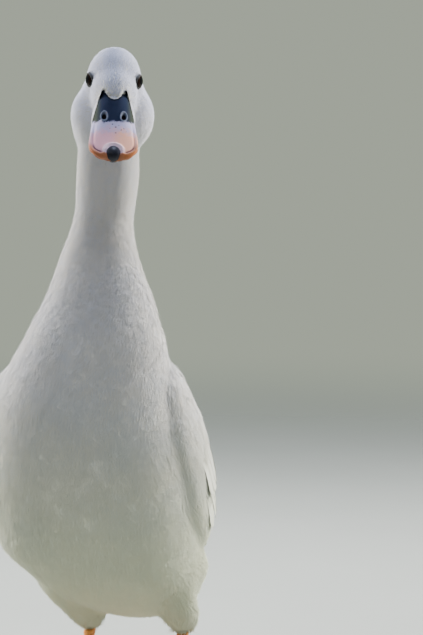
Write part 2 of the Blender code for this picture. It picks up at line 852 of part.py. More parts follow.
def build():
    clear_scene()
    parts = bpy.data.collections.new(NAME)
    bpy.context.scene.collection.children.link(parts)
    body_loft("torso", TRUNK_END, NECK_START, BODY_RINGS, parts)
    body_loft("neck", NECK_START + GAP / STATION_STEP, NECK_END, NECK_RINGS, parts)
    head = make_head(parts)
    make_bill(parts)
    recess = [part("cut", parts, GAP, BILL_RECESS) for part in (bill_upper_loft, bill_lower_loft)]
    boolean(head, "DIFFERENCE", recess)
    make_eyes(head, parts)
    for name, side in (("wing_left", 1), ("wing_right", -1)):
        wing = wing_core(name, side, WING_CORE, parts)
        boolean(wing, "UNION", wing_vanes(side, parts))
    tail = tail_core("tail", TAIL_CORE, parts)
    boolean(tail, "UNION", tail_vanes(parts))
    make_legs(parts)
    finish_nodes(parts)


build()
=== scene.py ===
"""Looks of the indian runner duck: one feathered skin, bill, eyes, legs and feet, light and camera.

Sizes are millimetres in the bird's own frame, as in its source, and are turned into metres when
points are made. The coat is many small meshes laid over one skin along the lie of the feathers.
"""
import functools
import itertools
from math import acos, copysign, cos, exp, floor, hypot, log, pi, radians, sin, sqrt, tan, tau

import bmesh
import bpy
import numpy as np
from mathutils import Matrix, Vector, noise
from mathutils.bvhtree import BVHTree


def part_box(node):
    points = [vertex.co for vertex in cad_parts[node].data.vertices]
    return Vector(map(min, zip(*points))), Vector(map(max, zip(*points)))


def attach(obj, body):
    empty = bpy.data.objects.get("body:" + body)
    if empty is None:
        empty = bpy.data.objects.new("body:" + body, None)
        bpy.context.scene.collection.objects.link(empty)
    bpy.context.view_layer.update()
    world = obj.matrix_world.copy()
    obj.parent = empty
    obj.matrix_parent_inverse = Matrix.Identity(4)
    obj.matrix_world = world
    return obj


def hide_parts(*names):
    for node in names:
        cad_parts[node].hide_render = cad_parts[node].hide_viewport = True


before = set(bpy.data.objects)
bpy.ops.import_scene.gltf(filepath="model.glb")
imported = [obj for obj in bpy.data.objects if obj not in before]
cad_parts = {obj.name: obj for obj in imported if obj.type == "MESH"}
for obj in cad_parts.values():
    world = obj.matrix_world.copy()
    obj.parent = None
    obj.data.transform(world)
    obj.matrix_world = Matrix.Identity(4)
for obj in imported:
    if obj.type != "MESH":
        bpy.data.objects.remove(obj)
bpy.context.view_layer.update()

MM = 0.001
SEED = 11
SIDES = (("left", 1), ("right", -1))
rng = np.random.default_rng(SEED)

# Trunk and neck, tail end first: forward, height, half depth, half width
STATIONS = (
    (-100, 86, 18, 26), (-80, 89, 31, 39), (-52, 100, 44, 55), (-25, 118, 54, 63),
    (-2, 142, 58, 65.5), (16, 172, 55, 64.5), (30, 204, 46, 57), (35, 237, 36, 46),
    (33, 264, 27, 35), (28, 290, 20.5, 25), (24, 315, 18, 18.3), (22, 345, 18.5, 19),
    (20, 375, 17, 17),
)
BODY_FULLNESS = 2.15
SLOPE_STEP = 0.02
# How far the body leans to its left, by height
SWAY = (
    (0, 6), (55, 6), (85, -5), (112, -15), (156, -14.5), (205, -12.5), (225, -9.5), (249, -5),
    (268, -3), (296, -4), (310, -3), (325, -1.2), (345, 0), (400, 2),
)

# Head frame, midway between the eyes
HEAD_AT = (7.4, -36.5, 398.7)
HEAD_YAW = 13.3
HEAD_PITCH = 16.0
HEAD_ROLL = 2.5
# Soft forms of the head: side, forward and up, then the three radii
HEAD_FORMS = (
    (0, -10, -1.4, 16.5, 26, 18.8), (0, -10, -14, 19.5, 26.5, 21),
    (9.2, -7, -24.5, 16.3, 22.5, 19.5), (-9.2, -7, -24.5, 16.3, 22.5, 19.5),
    (0, 8, -6, 14, 24.5, 17.2), (0, 8, -23, 12.5, 18, 9), (0, -19, -26, 18, 17, 22),
    (-9.5, -9, -36, 14, 15, 12),
)
EYE_AT = (11.1, -0.5, 0.0)
EYE_RADIUS = 6.0
EYE_FORWARD = 20.0
EYE_UPWARD = 0.12

# Bill, in the head's frame: forward, half width, ridge height, edge height
BILL_STATIONS = (
    (12, 11.0, 3.0, -20.4), (22, 12.2, 1.6, -20.6), (30, 12.8, -1.4, -20.4),
    (40, 12.9, -5.6, -19.8), (50, 13.1, -9.8, -19.2), (60, 13.7, -13.2, -18.9),
    (68, 14.0, -15.3, -19.0), (74, 13.5, -16.6, -19.6), (78, 11.6, -17.6, -20.4),
    (81, 8.0, -18.9, -21.4), (82.6, 3.6, -20.4, -22.3),
)
BILL_ROUNDNESS = 0.85
BILL_FLATNESS = ((14, 1.25), (76, 0.55))
BILL_LOWER_DEPTH = ((12, 5.0), (40, 4.2), (70, 2.6), (79, 1.4))
NOSTRIL_AT = (5.7, 44.2)
NAIL_AT = (0.0, 78.4, -19.8)
NAIL_SIZE = (4.4, 5.5, 4.8)

# Legs: how far out and forward each point stands, with its radius
THIGH_POINTS = ((31, -12, 112, 25), (31, -17, 86, 20), (30.5, -23, 65, 12.5), (30, -26, 54, 5.8))

# Folded wing: millimetres back from the shoulder, with degrees round the trunk or thickness
WING_FRONT = 6.65
STATION_STEP = 30.5
WING_MIDDLE = ((0, 77), (30, 71), (70, 65), (110, 57), (150, 45), (180, 34), (205, 25))
WING_HALF = ((0, 8), (10, 26), (30, 36), (70, 40), (110, 40), (150, 34), (180, 24), (205, 8))
WING_THICK = ((0, 1.2), (10, 4.2), (30, 6), (70, 7), (110, 5.6), (150, 4.2), (180, 3.1), (205, 1.2))
WING_EDGE = 0.9
WING_CLEAR = 1.0
WING_CORE = 140.0

# Tail: where its sheet starts, then millimetres back with half width or half thickness
TAIL_AT = (-100, 86)
TAIL_DROOP = radians(14.0)
TAIL_ARCH = 0.003
TAIL_WIDTH = ((0, 26), (20, 27), (48, 25))
TAIL_THICK = ((0, 18), (20, 11), (48, 5))
TAIL_CORE = 48.0
TAIL_ROOT_SPREAD = 13.0

# Camera: a shot from a little to the bird's left, past it to its right
CAMERA_TURN = radians(11.0)
CAMERA_RISE = radians(6.0)
CAMERA_DISTANCE = 1.6
CAMERA_LENS = 147.9
AIM_ASIDE = 0.058
AIM_HEIGHT = 0.2535


# Curves through the named sizes

def at_stations(stations, u):
    """Value of every column at station number u, on a smooth curve through all stations."""
    last = len(stations) - 1
    low = max(0, min(last - 1, int(floor(u))))
    t = u - low
    rows = [stations[max(0, min(last, low + k))] for k in (-1, 0, 1, 2)]
    return [
        0.5 * (2 * b + (c - a) * t + (2 * a - 5 * b + 4 * c - d) * t * t
               + (3 * b - a - 3 * c + d) * t ** 3)
        for a, b, c, d in zip(*rows)
    ]


def at_key(table, key):
    """Smooth value of a two-column table at a key."""
    if key <= table[0][0]:
        return table[0][1]
    for (k0, v0), (k1, v1) in zip(table, table[1:]):
        if key <= k1:
            t = (key - k0) / (k1 - k0)
            return v0 + (v1 - v0) * t * t * (3 - 2 * t)
    return table[-1][1]


def at_keys(table, keys):
    return np.array([at_key(table, key) for key in keys])


def signed_power(value, power):
    return copysign(abs(value) ** power, value)


def smooth(t):
    t = min(1.0, max(0.0, t))
    return t * t * (3 - 2 * t)


def ramp(value, start, length):
    """A smooth step that starts at a value and runs up, or down when its length is negative."""
    return smooth((value - start) / length)


def swell(form, value):
    """A soft swelling: its height, its middle and how wide it is."""
    height, middle, width = form
    return height * exp(-((value - middle) / width) ** 2)


def turns(count):
    return [tau * k / count for k in range(count)]


HEAD_TURN = (
    Matrix.Rotation(radians(HEAD_YAW), 4, "Z")
    @ Matrix.Rotation(radians(HEAD_PITCH), 4, "X")
    @ Matrix.Rotation(radians(HEAD_ROLL), 4, "Y")
)


def in_head(side, forward, up):
    return Vector((side, -forward, up)) * MM


def frame_shift():
    """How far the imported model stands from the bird's own frame, from the two eyes."""
    corners = [corner for name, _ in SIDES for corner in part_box("eye_" + name)]
    middle = sum(corners, Vector()) / len(corners)
    own = Vector(HEAD_AT) * MM + HEAD_TURN @ in_head(0, *EYE_AT[1:])
    return Vector((middle.x - own.x, middle.y - own.y, 0))


SHIFT = frame_shift()
HEAD_MATRIX = Matrix.Translation(Vector(HEAD_AT) * MM + SHIFT) @ HEAD_TURN
HEAD_INVERSE = HEAD_MATRIX.inverted()


def stand(side, forward, height):
    """A point of the standing bird, in metres, with the sway of its body."""
    return Vector((side + at_key(SWAY, height), -forward, height)) * MM + SHIFT


def body_local(u, angle):
    """Side, forward and height on the trunk; angle 0 is the back, positive to the left."""
    forward, height, depth, width = at_stations(STATIONS, u)
    ahead = at_stations(STATIONS, u + SLOPE_STEP)
    behind = at_stations(STATIONS, u - SLOPE_STEP)
    run = Vector((ahead[0] - behind[0], ahead[1] - behind[1])).normalized()
    out = depth * signed_power(cos(angle), 2 / BODY_FULLNESS)
    side = width * signed_power(sin(angle), 2 / BODY_FULLNESS)
    return Vector((side, forward - run.y * out, height + run.x * out))


def body_point(u, angle, lift):
    """A point in metres at a height over the trunk's surface."""
    here = body_local(u, angle)
    along = body_local(u + SLOPE_STEP, angle) - body_local(u - SLOPE_STEP, angle)
    around = body_local(u, angle + SLOPE_STEP) - body_local(u, angle - SLOPE_STEP)
    normal = along.cross(around).normalized()
    if normal.dot(here - Vector((0, *at_stations(STATIONS, u)[:2]))) < 0:
        normal.negate()
    return stand(*(here + normal * lift))


def head_point(side, forward, up):
    return HEAD_MATRIX @ in_head(side, forward, up)


def head_place(point):
    """Side, forward and up of a place in the head's frame."""
    here = HEAD_INVERSE @ Vector(point) / MM
    return here.x, -here.y, here.z


def wing_station(along):
    """The trunk's station under a place of the wing, with its mean radius."""
    u = WING_FRONT - along / STATION_STEP
    return u, 0.5 * sum(at_stations(STATIONS, u)[2:])


def wing_point(side, along, across, lift):
    """A point over the trunk: millimetres back from the shoulder, down from the wing's middle."""
    u, radius = wing_station(along)
    angle = radians(at_key(WING_MIDDLE, along)) + across / radius
    return body_point(u, side * angle, WING_CLEAR + lift)


def wing_half_span(along):
    return radians(at_key(WING_HALF, along)) * wing_station(along)[1]


def wing_top(along, across):
    reach = min(0.995, abs(across) / wing_half_span(along))
    return WING_EDGE + at_key(WING_THICK, along) * sqrt(1 - reach * reach)


def tail_point(along, across, lift):
    """A point of the tail: back from the rump, to the left and over its arched sheet."""
    level, steep = cos(TAIL_DROOP), sin(TAIL_DROOP)
    forward = TAIL_AT[0] - along * level - lift * steep
    height = TAIL_AT[1] - along * steep + (lift - TAIL_ARCH * across * across) * level
    return stand(across, forward, height)


# Meshes and pieces

def link(name, data):
    obj = bpy.data.objects.new(name, data)
    bpy.context.scene.collection.objects.link(obj)
    return obj


def new_mesh(name, bm):
    mesh = bpy.data.meshes.new(name)
    bm.to_mesh(mesh)
    bm.free()
    mesh.shade_smooth()
    return mesh


def finish(obj, slot, *materials, nodes=()):
    """Gives a piece its materials and its body, and the nodes that it stands for; the slot is not
    used.
    """
    obj.data.shade_smooth()
    obj.data.materials.clear()
    for material in materials:
        obj.data.materials.append(material)
    if nodes:
        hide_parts(*nodes)
    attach(obj, "root")
    return obj


def mark(mesh, **marks):
    """Keeps a number or three of every point for the mesh's material."""
    for name, values in marks.items():
        values = np.array(values, np.float32)
        kind, key = ("FLOAT_VECTOR", "vector") if values.ndim > 1 else ("FLOAT", "value")
        mesh.attributes.new(name, kind, "POINT").data.foreach_set(key, values.ravel())


def draw_piece(name, bm, slot, *materials, nodes=(), **marks):
    mesh = new_mesh(name, bm)
    mark(mesh, **marks)
    return finish(link(name, mesh), slot, *materials, nodes=nodes)


def with_normals(mesh):
    return list(zip(mesh.vertices, [vertex.normal.copy() for vertex in mesh.vertices]))


def add_map(mesh, name, places):
    corners = np.zeros(len(mesh.loops), np.int32)
    mesh.loops.foreach_get("vertex_index", corners)
    layer = mesh.uv_layers.new(name=name)
    layer.data.foreach_set("uv", places[corners].astype(np.float32).ravel())


def weave(bm, rows, closed=False):
    """Faces between rows of points that are drawn already."""
    count = len(rows[0])
    for row, after in zip(rows, rows[1:]):
        for k in range(count if closed else count - 1):
            m = (k + 1) % count
            bm.faces.new((row[k], after[k], after[m], row[m]))


def add_loft(bm, rings):
    """A closed tube with flat ends through rings of equal point counts."""
    loops = [[bm.verts.new(point) for point in ring] for ring in rings]
    weave(bm, loops, closed=True)
    bm.faces.new(loops[0])
    bm.faces.new(loops[-1])


BALL_CELLS = (40, 24)


def add_ball(bm, place, radii):
    scale = Matrix.Diagonal((*(radius * MM for radius in radii), 1))
    matrix = HEAD_MATRIX @ Matrix.Translation(in_head(*place)) @ scale
    bmesh.ops.create_uvsphere(
        bm, u_segments=BALL_CELLS[0], v_segments=BALL_CELLS[1], radius=1.0, matrix=matrix)


def with_settings(made, settings):
    for key, value in settings.items():
        setattr(made, key, value)
    return made


def modify(obj, *steps):
    """Puts a piece through modifiers, each a kind with its settings."""
    for kind, settings in steps:
        with_settings(obj.modifiers.new(kind, kind), settings)
    bpy.context.view_layer.update()
    evaluated = obj.evaluated_get(bpy.context.evaluated_depsgraph_get())
    mesh = bpy.data.meshes.new_from_object(evaluated)
    obj.modifiers.clear()
    obj.data = mesh


def melt(obj, voxel, rounds):
    """Makes one smooth skin of a piece's forms."""
    modify(obj, ("REMESH", {"mode": "VOXEL", "voxel_size": voxel * MM}),
           ("SMOOTH", {"factor": 0.5, "iterations": rounds}))


def eye_frame(side):
    """Turns the eyeball's third axis out along the eye's own axis, with its first axis level."""
    turn = radians(EYE_FORWARD)
    out = Vector((cos(turn) * side, -sin(turn), EYE_UPWARD)).normalized()
    level = Vector((0, 0, 1)).cross(out).normalized()
    turned = Matrix((level, out.cross(level), out)).transposed().to_4x4()
    return HEAD_MATRIX @ Matrix.Translation(in_head(EYE_AT[0] * side, *EYE_AT[1:])) @ turned


EYE_FRAMES = [eye_frame(side) for _, side in SIDES]
EYE_INVERSES = [place.inverted() for place in EYE_FRAMES]

# The edge of the bare bill, seen from the front: to the side, then height in a tilted view
BARE_TILT = radians(22.0)
BARE_SIDE = (0, 2.0, 3.5, 5.0, 6.9, 7.8, 9.7, 12.6, 13.5)
BARE_HEIGHT = (-13.6, -13.1, -11.9, -9.6, -6.6, -10.0, -16.7, -26.5, -29.5)
BARE_TOWARD = Vector((0, -cos(BARE_TILT), sin(BARE_TILT)))
BARE_UPWARD = Vector((0, sin(BARE_TILT), cos(BARE_TILT)))
BARE_BACK = 12.0
BARE_LOW = -20.5
BARE_SINK = 8.0
BARE_SLOPE = 3
BARE_END = 33.5
FLANK_END = 25.0
FLANK_SIDE = 9.5
FAR_OFF = 99.0


def tilted_height(forward, up):
    return up * cos(BARE_TILT) - forward * sin(BARE_TILT)


def bare_edge(side):
    return float(np.interp(abs(side), BARE_SIDE, BARE_HEIGHT))


def covered_by(side, forward, up):
    """How far a place of the head lies above the edge of the bare bill."""
    over = tilted_height(forward, up) - bare_edge(side)
    return max(over, min(FLANK_END - forward, abs(side) - FLANK_SIDE))


def bare_depth(side, forward, up):
    """How far a place of the forehead lies within the bare bill."""
    if forward > BARE_BACK and up > BARE_LOW and abs(side) < BARE_SIDE[-1]:
        return -covered_by(side, forward, up)
    return -FAR_OFF


# The skin under the feathers

SKIN_VOXEL = 1.9
SKIN_SMOOTHING = 6
SKIN_RINGS = 96
SKIN_SIDES = 72
SKIN_TOP = 11.4
WING_RINGS = 24
WING_CELLS = 12
WING_CROWDING = 1.25
WING_UNDER = -4.0
TAIL_START = 0.15
TAIL_RINGS = 8
THIGH_RINGS = 12
THIGH_SIDES = 24
HEAD_LOW = 348.0
HEAD_FADE = 20
HEAD_BLEND = 14
SOCKET_REACH = 8.5
# How far out the skin may stand round an eye: distance from its axis, height over its middle
SOCKET_LIMIT = ((3.6, 1.5), (5.0, 3.2), (6.2, 3.7), (8.5, 6.0))
# Depth of the coat over the skin: height of the bird, then millimetres
COAT_DEPTH = ((60, 1.2), (90, 2.2), (220, 2.4), (300, 1.5), (345, 1.0), (395, 0.9), (420, 1.3))


def body_ring(u):
    return [stand(*body_local(u, turn)) for turn in turns(SKIN_SIDES)]


def wing_ring(side, along):
    half = wing_half_span(along)
    steps = [half * sin(pi / 2 * (2 * k / WING_CELLS - 1)) for k in range(WING_CELLS + 1)]
    top = [wing_point(side, along, across, wing_top(along, across)) for across in steps]
    return top + [wing_point(side, along, across, WING_UNDER) for across in reversed(steps)]


def tail_ring(along):
    width, thick = at_key(TAIL_WIDTH, along), at_key(TAIL_THICK, along)
    return [tail_point(along, width * sin(turn), thick * cos(turn))
            for turn in turns(SKIN_SIDES)]


def thigh_ring(side, u):
    out, forward, height, radius = at_stations(THIGH_POINTS, u)
    return [stand(side * out + radius * cos(turn), forward + radius * sin(turn), height)
            for turn in turns(THIGH_SIDES)]


def draw_skin():
    """One closed skin round the trunk, neck, head, thighs, wing roots and tail root."""
    bm = bmesh.new()
    add_loft(bm, [body_ring(SKIN_TOP * i / SKIN_RINGS) for i in range(SKIN_RINGS + 1)])
    for _, side in SIDES:
        add_loft(bm, [wing_ring(side, WING_CORE * (i / WING_RINGS) ** WING_CROWDING)
                      for i in range(WING_RINGS + 1)])
        add_loft(bm, [thigh_ring(side, (len(THIGH_POINTS) - 1) * i / THIGH_RINGS)
                      for i in range(THIGH_RINGS + 1)])
    add_loft(bm, [body_ring(TAIL_START),
                  *(tail_ring(TAIL_CORE * (i + 1) / TAIL_RINGS) for i in range(TAIL_RINGS))])
    for form in HEAD_FORMS:
        add_ball(bm, form[:3], form[3:])
    bmesh.ops.recalc_face_normals(bm, faces=bm.faces)
    skin = link("skin", new_mesh("skin", bm))
    melt(skin, SKIN_VOXEL, SKIN_SMOOTHING)
    group = skin.vertex_groups.new(name="head")
    for vertex in skin.data.vertices:
        group.add([vertex.index], ramp(vertex.co.z / MM, HEAD_LOW, HEAD_FADE), "REPLACE")
    modify(skin, ("SMOOTH", {"factor": 0.5, "iterations": HEAD_BLEND, "vertex_group": "head"}))
    return skin


def make_skin():
    """The skin, sunk under the bare bill and the coat, and open round the eyes."""
    skin = draw_skin()
    for vertex in skin.data.vertices:
        if vertex.co.z >= HEAD_LOW * MM:
            sunk = BARE_SINK * ramp(bare_depth(*head_place(vertex.co)), 0, BARE_SLOPE)
            vertex.co -= (HEAD_TURN @ BARE_TOWARD) * (sunk * MM)
    skin.data.update()
    for vertex, normal in with_normals(skin.data):
        vertex.co -= normal * at_key(COAT_DEPTH, vertex.co.z / MM) * MM
        for place, inverse in zip(EYE_FRAMES, EYE_INVERSES):
            here = inverse @ vertex.co / MM
            reach = hypot(here.x, here.y)
            if here.z > 0 and reach < SOCKET_REACH:
                here.z = min(here.z, at_key(SOCKET_LIMIT, reach))
                vertex.co = place @ (here * MM)
    add_map(skin.data, "OFBake", unwrap([vertex.co for vertex in skin.data.vertices]))
    down = grained("down", 700, 4, (0.62, 0.60, 0.56), (0.78, 0.76, 0.71), 0.0004, Roughness=0.9)
    nodes = ("head", "neck", "torso", "thigh_left", "thigh_right")
    return finish(skin, "plumage", down.material, nodes=nodes)


# The spine: the line that the lie of the coat and the unwrap follow

SPINE_POINTS = 90
SPINE_TOP = 11.2
SPINE_CROWN = ((0, -14, 2), (0, -6, 14))
SPINE_TAIL = 0.07
MAP_EDGE = 0.02


def make_spine():
    stations = np.linspace(0, SPINE_TOP, SPINE_POINTS)
    points = [stand(0, *at_stations(STATIONS, u)[:2]) for u in stations]
    points += [head_point(*place) for place in SPINE_CROWN]
    back = (points[0] - points[4]).normalized()
    points = [stand(0, *TAIL_AT) + back * SPINE_TAIL, *points]
    lengths = [0.0]
    for a, b in zip(points, points[1:]):
        lengths.append(lengths[-1] + (b - a).length)
    return np.array([tuple(p) for p in points]), np.array(lengths)


SPINE, SPINE_LENGTHS = make_spine()


def spine_place(points):
    """Each point's place along the spine, from 0 at the tail to 1 at the crown, and its turn."""
    points = np.asarray(points, float)
    best = np.full(len(points), 1e9)
    place = np.zeros(len(points))
    turn = np.zeros(len(points))
    for start, end, before in zip(SPINE, SPINE[1:], SPINE_LENGTHS):
        length = np.linalg.norm(end - start)
        axis = (end - start) / length
        away = points - start
        t = np.clip(away @ (end - start) / length ** 2, 0, 1)
        off = away - t[:, None] * (end - start)
        distance = (off ** 2).sum(1)
        nearer = distance < best
        front = np.array((0.0, -axis[2], axis[1]))
        front /= np.linalg.norm(front)
        best = np.where(nearer, distance, best)
        place = np.where(nearer, before + t * length, place)
        turn = np.where(nearer, np.arctan2(off @ np.cross(front, axis), off @ front), turn)
    return place / SPINE_LENGTHS[-1], turn


def unwrap(points):
    """The bake map's place of each point: round the spine across, along the spine up."""
    place, turn = spine_place(points)
    return MAP_EDGE + (1 - 2 * MAP_EDGE) * np.stack([turn / tau + 0.5, place], 1)


# The lie of the coat

BILL_ROOT = (0, 22, -10)
# Heights where the feathers of head and thighs start to turn, and over how far
HEAD_LIE = (352, 34)
THIGH_LIE = (78, -14)
FACE_DROP = Vector((0, 0, -0.25))


def lie_at(point, normal):
    """The direction that feathers point at a place on the skin."""
    height = (point.z - SHIFT.z) / MM
    index = int(np.argmin(((SPINE - np.array(point)) ** 2).sum(1)))
    low, high = max(0, index - 1), min(len(SPINE) - 1, index + 1)
    down = Vector(SPINE[low] - SPINE[high]).normalized()
    head = ramp(height, *HEAD_LIE)
    if head > 0:
        down = down.lerp((point - head_point(*BILL_ROOT)).normalized() + FACE_DROP, head)
    thigh = ramp(height, *THIGH_LIE)
    if thigh > 0:
        down = down.lerp(Vector((0, 0, -1)), thigh)
    return (down - normal * down.dot(normal)).normalized()


class Surface:
    """Nearest points on the skin, with the smooth normal and the lie of the coat there."""

    def __init__(self, mesh):
        points = [vertex.co.copy() for vertex in mesh.vertices]
        corners = [vertex.normal.copy() for vertex in mesh.vertices]
        faces = [tuple(polygon.vertices) for polygon in mesh.polygons]
        self.tree = BVHTree.FromPolygons(points, faces)
        self.normals = [sum((corners[i] for i in face), Vector()).normalized() for face in faces]
        self.centres = [sum((points[i] for i in face), Vector()) / len(face) for face in faces]
        self.areas = np.array([polygon.area for polygon in mesh.polygons])
        four = [(*face, face[-1])[:4] for face in faces]
        self.corners = np.array([[tuple(points[i]) for i in face] for face in four])
        self.lies = [lie_at(c, n) for c, n in zip(self.centres, self.normals)]

    def near(self, point):
        spot, _, index, _ = self.tree.find_nearest(point)
        return spot, self.normals[index], self.lies[index]


# The coat: sizes in millimetres by the distance from the crown along the spine

VANE_LENGTH = ((120, 9), (165, 13), (205, 17), (260, 21), (340, 23), (420, 20))
VANE_WIDTH = ((120, 4.5), (165, 7.5), (205, 10), (260, 13), (340, 14))
VANE_SPACING = ((120, 2.4), (165, 3.2), (205, 4.0), (260, 5.0), (340, 5.5))
TUFT_LENGTH = ((0, 4.0), (45, 4.8), (80, 6.2), (130, 8.5), (205, 12), (300, 15), (420, 15))
TUFT_SPACING = ((0, 0.8), (45, 0.82), (80, 0.9), (130, 1.1), (205, 1.3), (300, 1.5), (420, 1.5))
TUFT_HEIGHT = ((0, 1.0), (60, 1.1), (120, 1.7), (170, 2.4), (230, 2.9))
VANE_START = 118.0
FACE_LENGTH = ((8, 0.42), (22, 0.75), (36, 1.0))
PATCH = 0.003
SCATTER_TRIES = 3.2
SCATTER_GRADE = 1.2
SCATTER_GAP = 0.88
NEIGHBOURS = list(itertools.product((-1, 0, 1), repeat=3))


class Coat:
    """Feathers that become one piece: points, triangles, the bake map, the vane map and a tone."""

    def __init__(self):
        self.parts = []
        self.count = 0

    def add(self, points, template, vane, roots, tones):
        number, size = points.shape[:2]
        offset = self.count + np.arange(number)[:, None, None] * size
        self.parts.append((
            points.reshape(-1, 3),
            (template[None] + offset).reshape(-1, 3),
            (roots[:, None] + (vane - 0.5)[None] * PATCH).reshape(-1, 2),
            np.broadcast_to(vane, (number, size, 2)).reshape(-1, 2),
            np.repeat(tones, size),
        ))
        self.count += number * size

    def build(self, name, material, *nodes):
        points, triangles, bake, vane, tones = map(np.concatenate, zip(*self.parts))
        mesh = bpy.data.meshes.new(name)
        mesh.from_pydata(points, (), triangles)
        add_map(mesh, "OFBake", bake)
        add_map(mesh, "Vane", vane)
        mark(mesh, tone=tones)
        finish(link(name, mesh), "plumage", material, nodes=nodes)


def grid_template(rows, across):
    """Triangles and map places of a grid of points, row by row from root to tip."""
    triangles = []
    for i, k in itertools.product(range(rows - 1), range(len(across) - 1)):
        a = i * len(across) + k
        b = a + len(across)
        triangles += [(a, b + 1, a + 1), (a, b, b + 1)]
    vane = [((q + 1) / 2, i / (rows - 1)) for i in range(rows) for q in across]
    return np.array(triangles), np.array(vane)


def ribbon_template(rows):
    """Triangles and map places of a ribbon whose last row is its tip point."""
    triangles = []
    for a in range(0, 2 * (rows - 2), 2):
        triangles += [(a, a + 3, a + 1), (a, a + 2, a + 3)]
    a = 2 * (rows - 2)
    triangles.append((a, a + 2, a + 1))
    vane = [(k, i / (rows - 1)) for i in range(rows - 1) for k in (0.3, 0.7)] + [(0.5, 1.0)]
    return np.array(triangles), np.array(vane)


def unit(vectors):
    return vectors / np.maximum(np.linalg.norm(vectors, axis=-1, keepdims=True), 1e-12)


def add_ribbons(coat, paths, across, widths, roots, tones):
    """Narrow tapering barbs along paths; across is each row's sideways direction."""
    half = across * widths[..., None] / 2
    body = np.stack([(paths - half)[:, :-1], (paths + half)[:, :-1]], 2).reshape(len(paths), -1, 3)
    points = np.concatenate([body, paths[:, -1:]], 1)
    coat.add(points, *ribbon_template(paths.shape[1]), roots, tones)


def scatter(surface, spacings, kept):
    """Places on the skin no nearer to one another than the spacing there, in millimetres."""
    centres = np.array([tuple(c) for c in surface.centres])
    from_crown = (1 - spine_place(centres)[0]) * SPINE_LENGTHS[-1] / MM
    spacing = at_keys(spacings, from_crown) * MM
    shown = np.array([kept(c, d) for c, d in zip(centres, from_crown)])
    weight = surface.areas / spacing ** 2 * shown
    number = int(weight.sum() * SCATTER_TRIES)
    picked = rng.choice(len(weight), number, p=weight / weight.sum())
    s, t = rng.random((2, number, 1))
    c = surface.corners[picked]
    spots = (c[:, 0] * (1 - s) + c[:, 1] * s) * (1 - t) + (c[:, 3] * (1 - s) + c[:, 2] * s) * t
    level = np.round(np.log(spacing[picked] / MM) / log(SCATTER_GRADE)).astype(int)
    taken = {}
    chosen = []
    for i, (x, y, z) in enumerate(spots):
        cell = MM * SCATTER_GRADE ** level[i] * SCATTER_GAP
        key = (int(x // cell), int(y // cell), int(z // cell))
        grid = taken.setdefault(level[i], {})
        others = (grid.get((key[0] + a, key[1] + b, key[2] + c)) for a, b, c in NEIGHBOURS)
        if not any(other and (other[0] - x) ** 2 + (other[1] - y) ** 2 + (other[2] - z) ** 2
                   < cell * cell for other in others):
            grid[key] = (x, y, z)
            chosen.append(i)
    return spots[chosen], from_crown[picked][chosen]


def trace(surface, roots, lengths, rows, wander):
    """Centre lines over the skin along the lie of the coat, with their normals and sides."""
    paths, normals, sides = np.zeros((3, len(roots), rows, 3))
    for i, turn in enumerate(rng.normal(0, wander, len(roots))):
        spot, normal, lie = surface.near(Vector(roots[i]))
        step = lengths[i] / (rows - 1)
        for k in range(rows):
            heading = lie * cos(turn) + normal.cross(lie).normalized() * sin(turn)
            paths[i, k], normals[i, k], sides[i, k] = spot, normal, normal.cross(heading)
            if k < rows - 1:
                spot, normal, lie = surface.near(spot + heading * step)
    return paths, unit(normals), unit(sides)


def clumps(roots, scale, amount):
    """A slow swell over the coat, in metres."""
    return np.array([noise.noise(Vector(p) / scale) for p in roots]) * amount


TUFT_ROWS = 3
TUFT_VARY = (0.8, 1.15)
TUFT_LIFT = (0.7, 1.2)
TUFT_WANDER = 0.14
TUFT_CLUMPS = (0.009, 0.00025)
TUFT_THICK = (0.2, 0.04)
TUFT_RISE = np.array((-0.35, 0.62, 1.0))
TUFT_TAPER = np.array((0.7, 1.0, 0.0))
TUFT_SPREAD = tan(radians(13))
TUFT_SIDE = 0.86
TUFT_LOW = 0.88


def tufts(coat, surface, spots, from_crown):
    """Short soft feathers of the head and neck, each a fan of three barbs."""
    number = len(spots)
    bill = np.array(head_point(*BILL_ROOT))
    face = at_keys(FACE_LENGTH, np.linalg.norm(spots - bill, axis=1) / MM)
    lengths = at_keys(TUFT_LENGTH, from_crown) * MM * face * rng.uniform(*TUFT_VARY, number)
    paths, normals, sides = trace(surface, spots, lengths, TUFT_ROWS, TUFT_WANDER)
    high = at_keys(TUFT_HEIGHT, from_crown) * rng.uniform(*TUFT_LIFT, number) * np.sqrt(face) * MM
    high = (high + clumps(spots, *TUFT_CLUMPS))[:, None] * TUFT_RISE
    aside = np.linspace(0, 1, TUFT_ROWS) * lengths[:, None] * TUFT_SPREAD
    widths = (TUFT_THICK[0] + TUFT_THICK[1] * lengths / MM)[:, None] * TUFT_TAPER * MM
    outer = (TUFT_SIDE, TUFT_LOW)
    add_fans(coat, paths, normals, sides, high, aside, widths, unwrap(spots), outer)


def add_fans(coat, paths, normals, sides, high, aside, widths, roots, outer):
    """Three barbs on every path; the outer two have their own shares of length and height."""
    tones = rng.random(len(paths))
    for fan in (-1, 0, 1):
        short, low = outer if fan else (1, 1)
        line = paths[:, :1] + (paths - paths[:, :1]) * short
        line = line + sides * (aside * short * fan)[..., None] + normals * (high * low)[..., None]
        add_ribbons(coat, line, sides, widths, roots, tones)


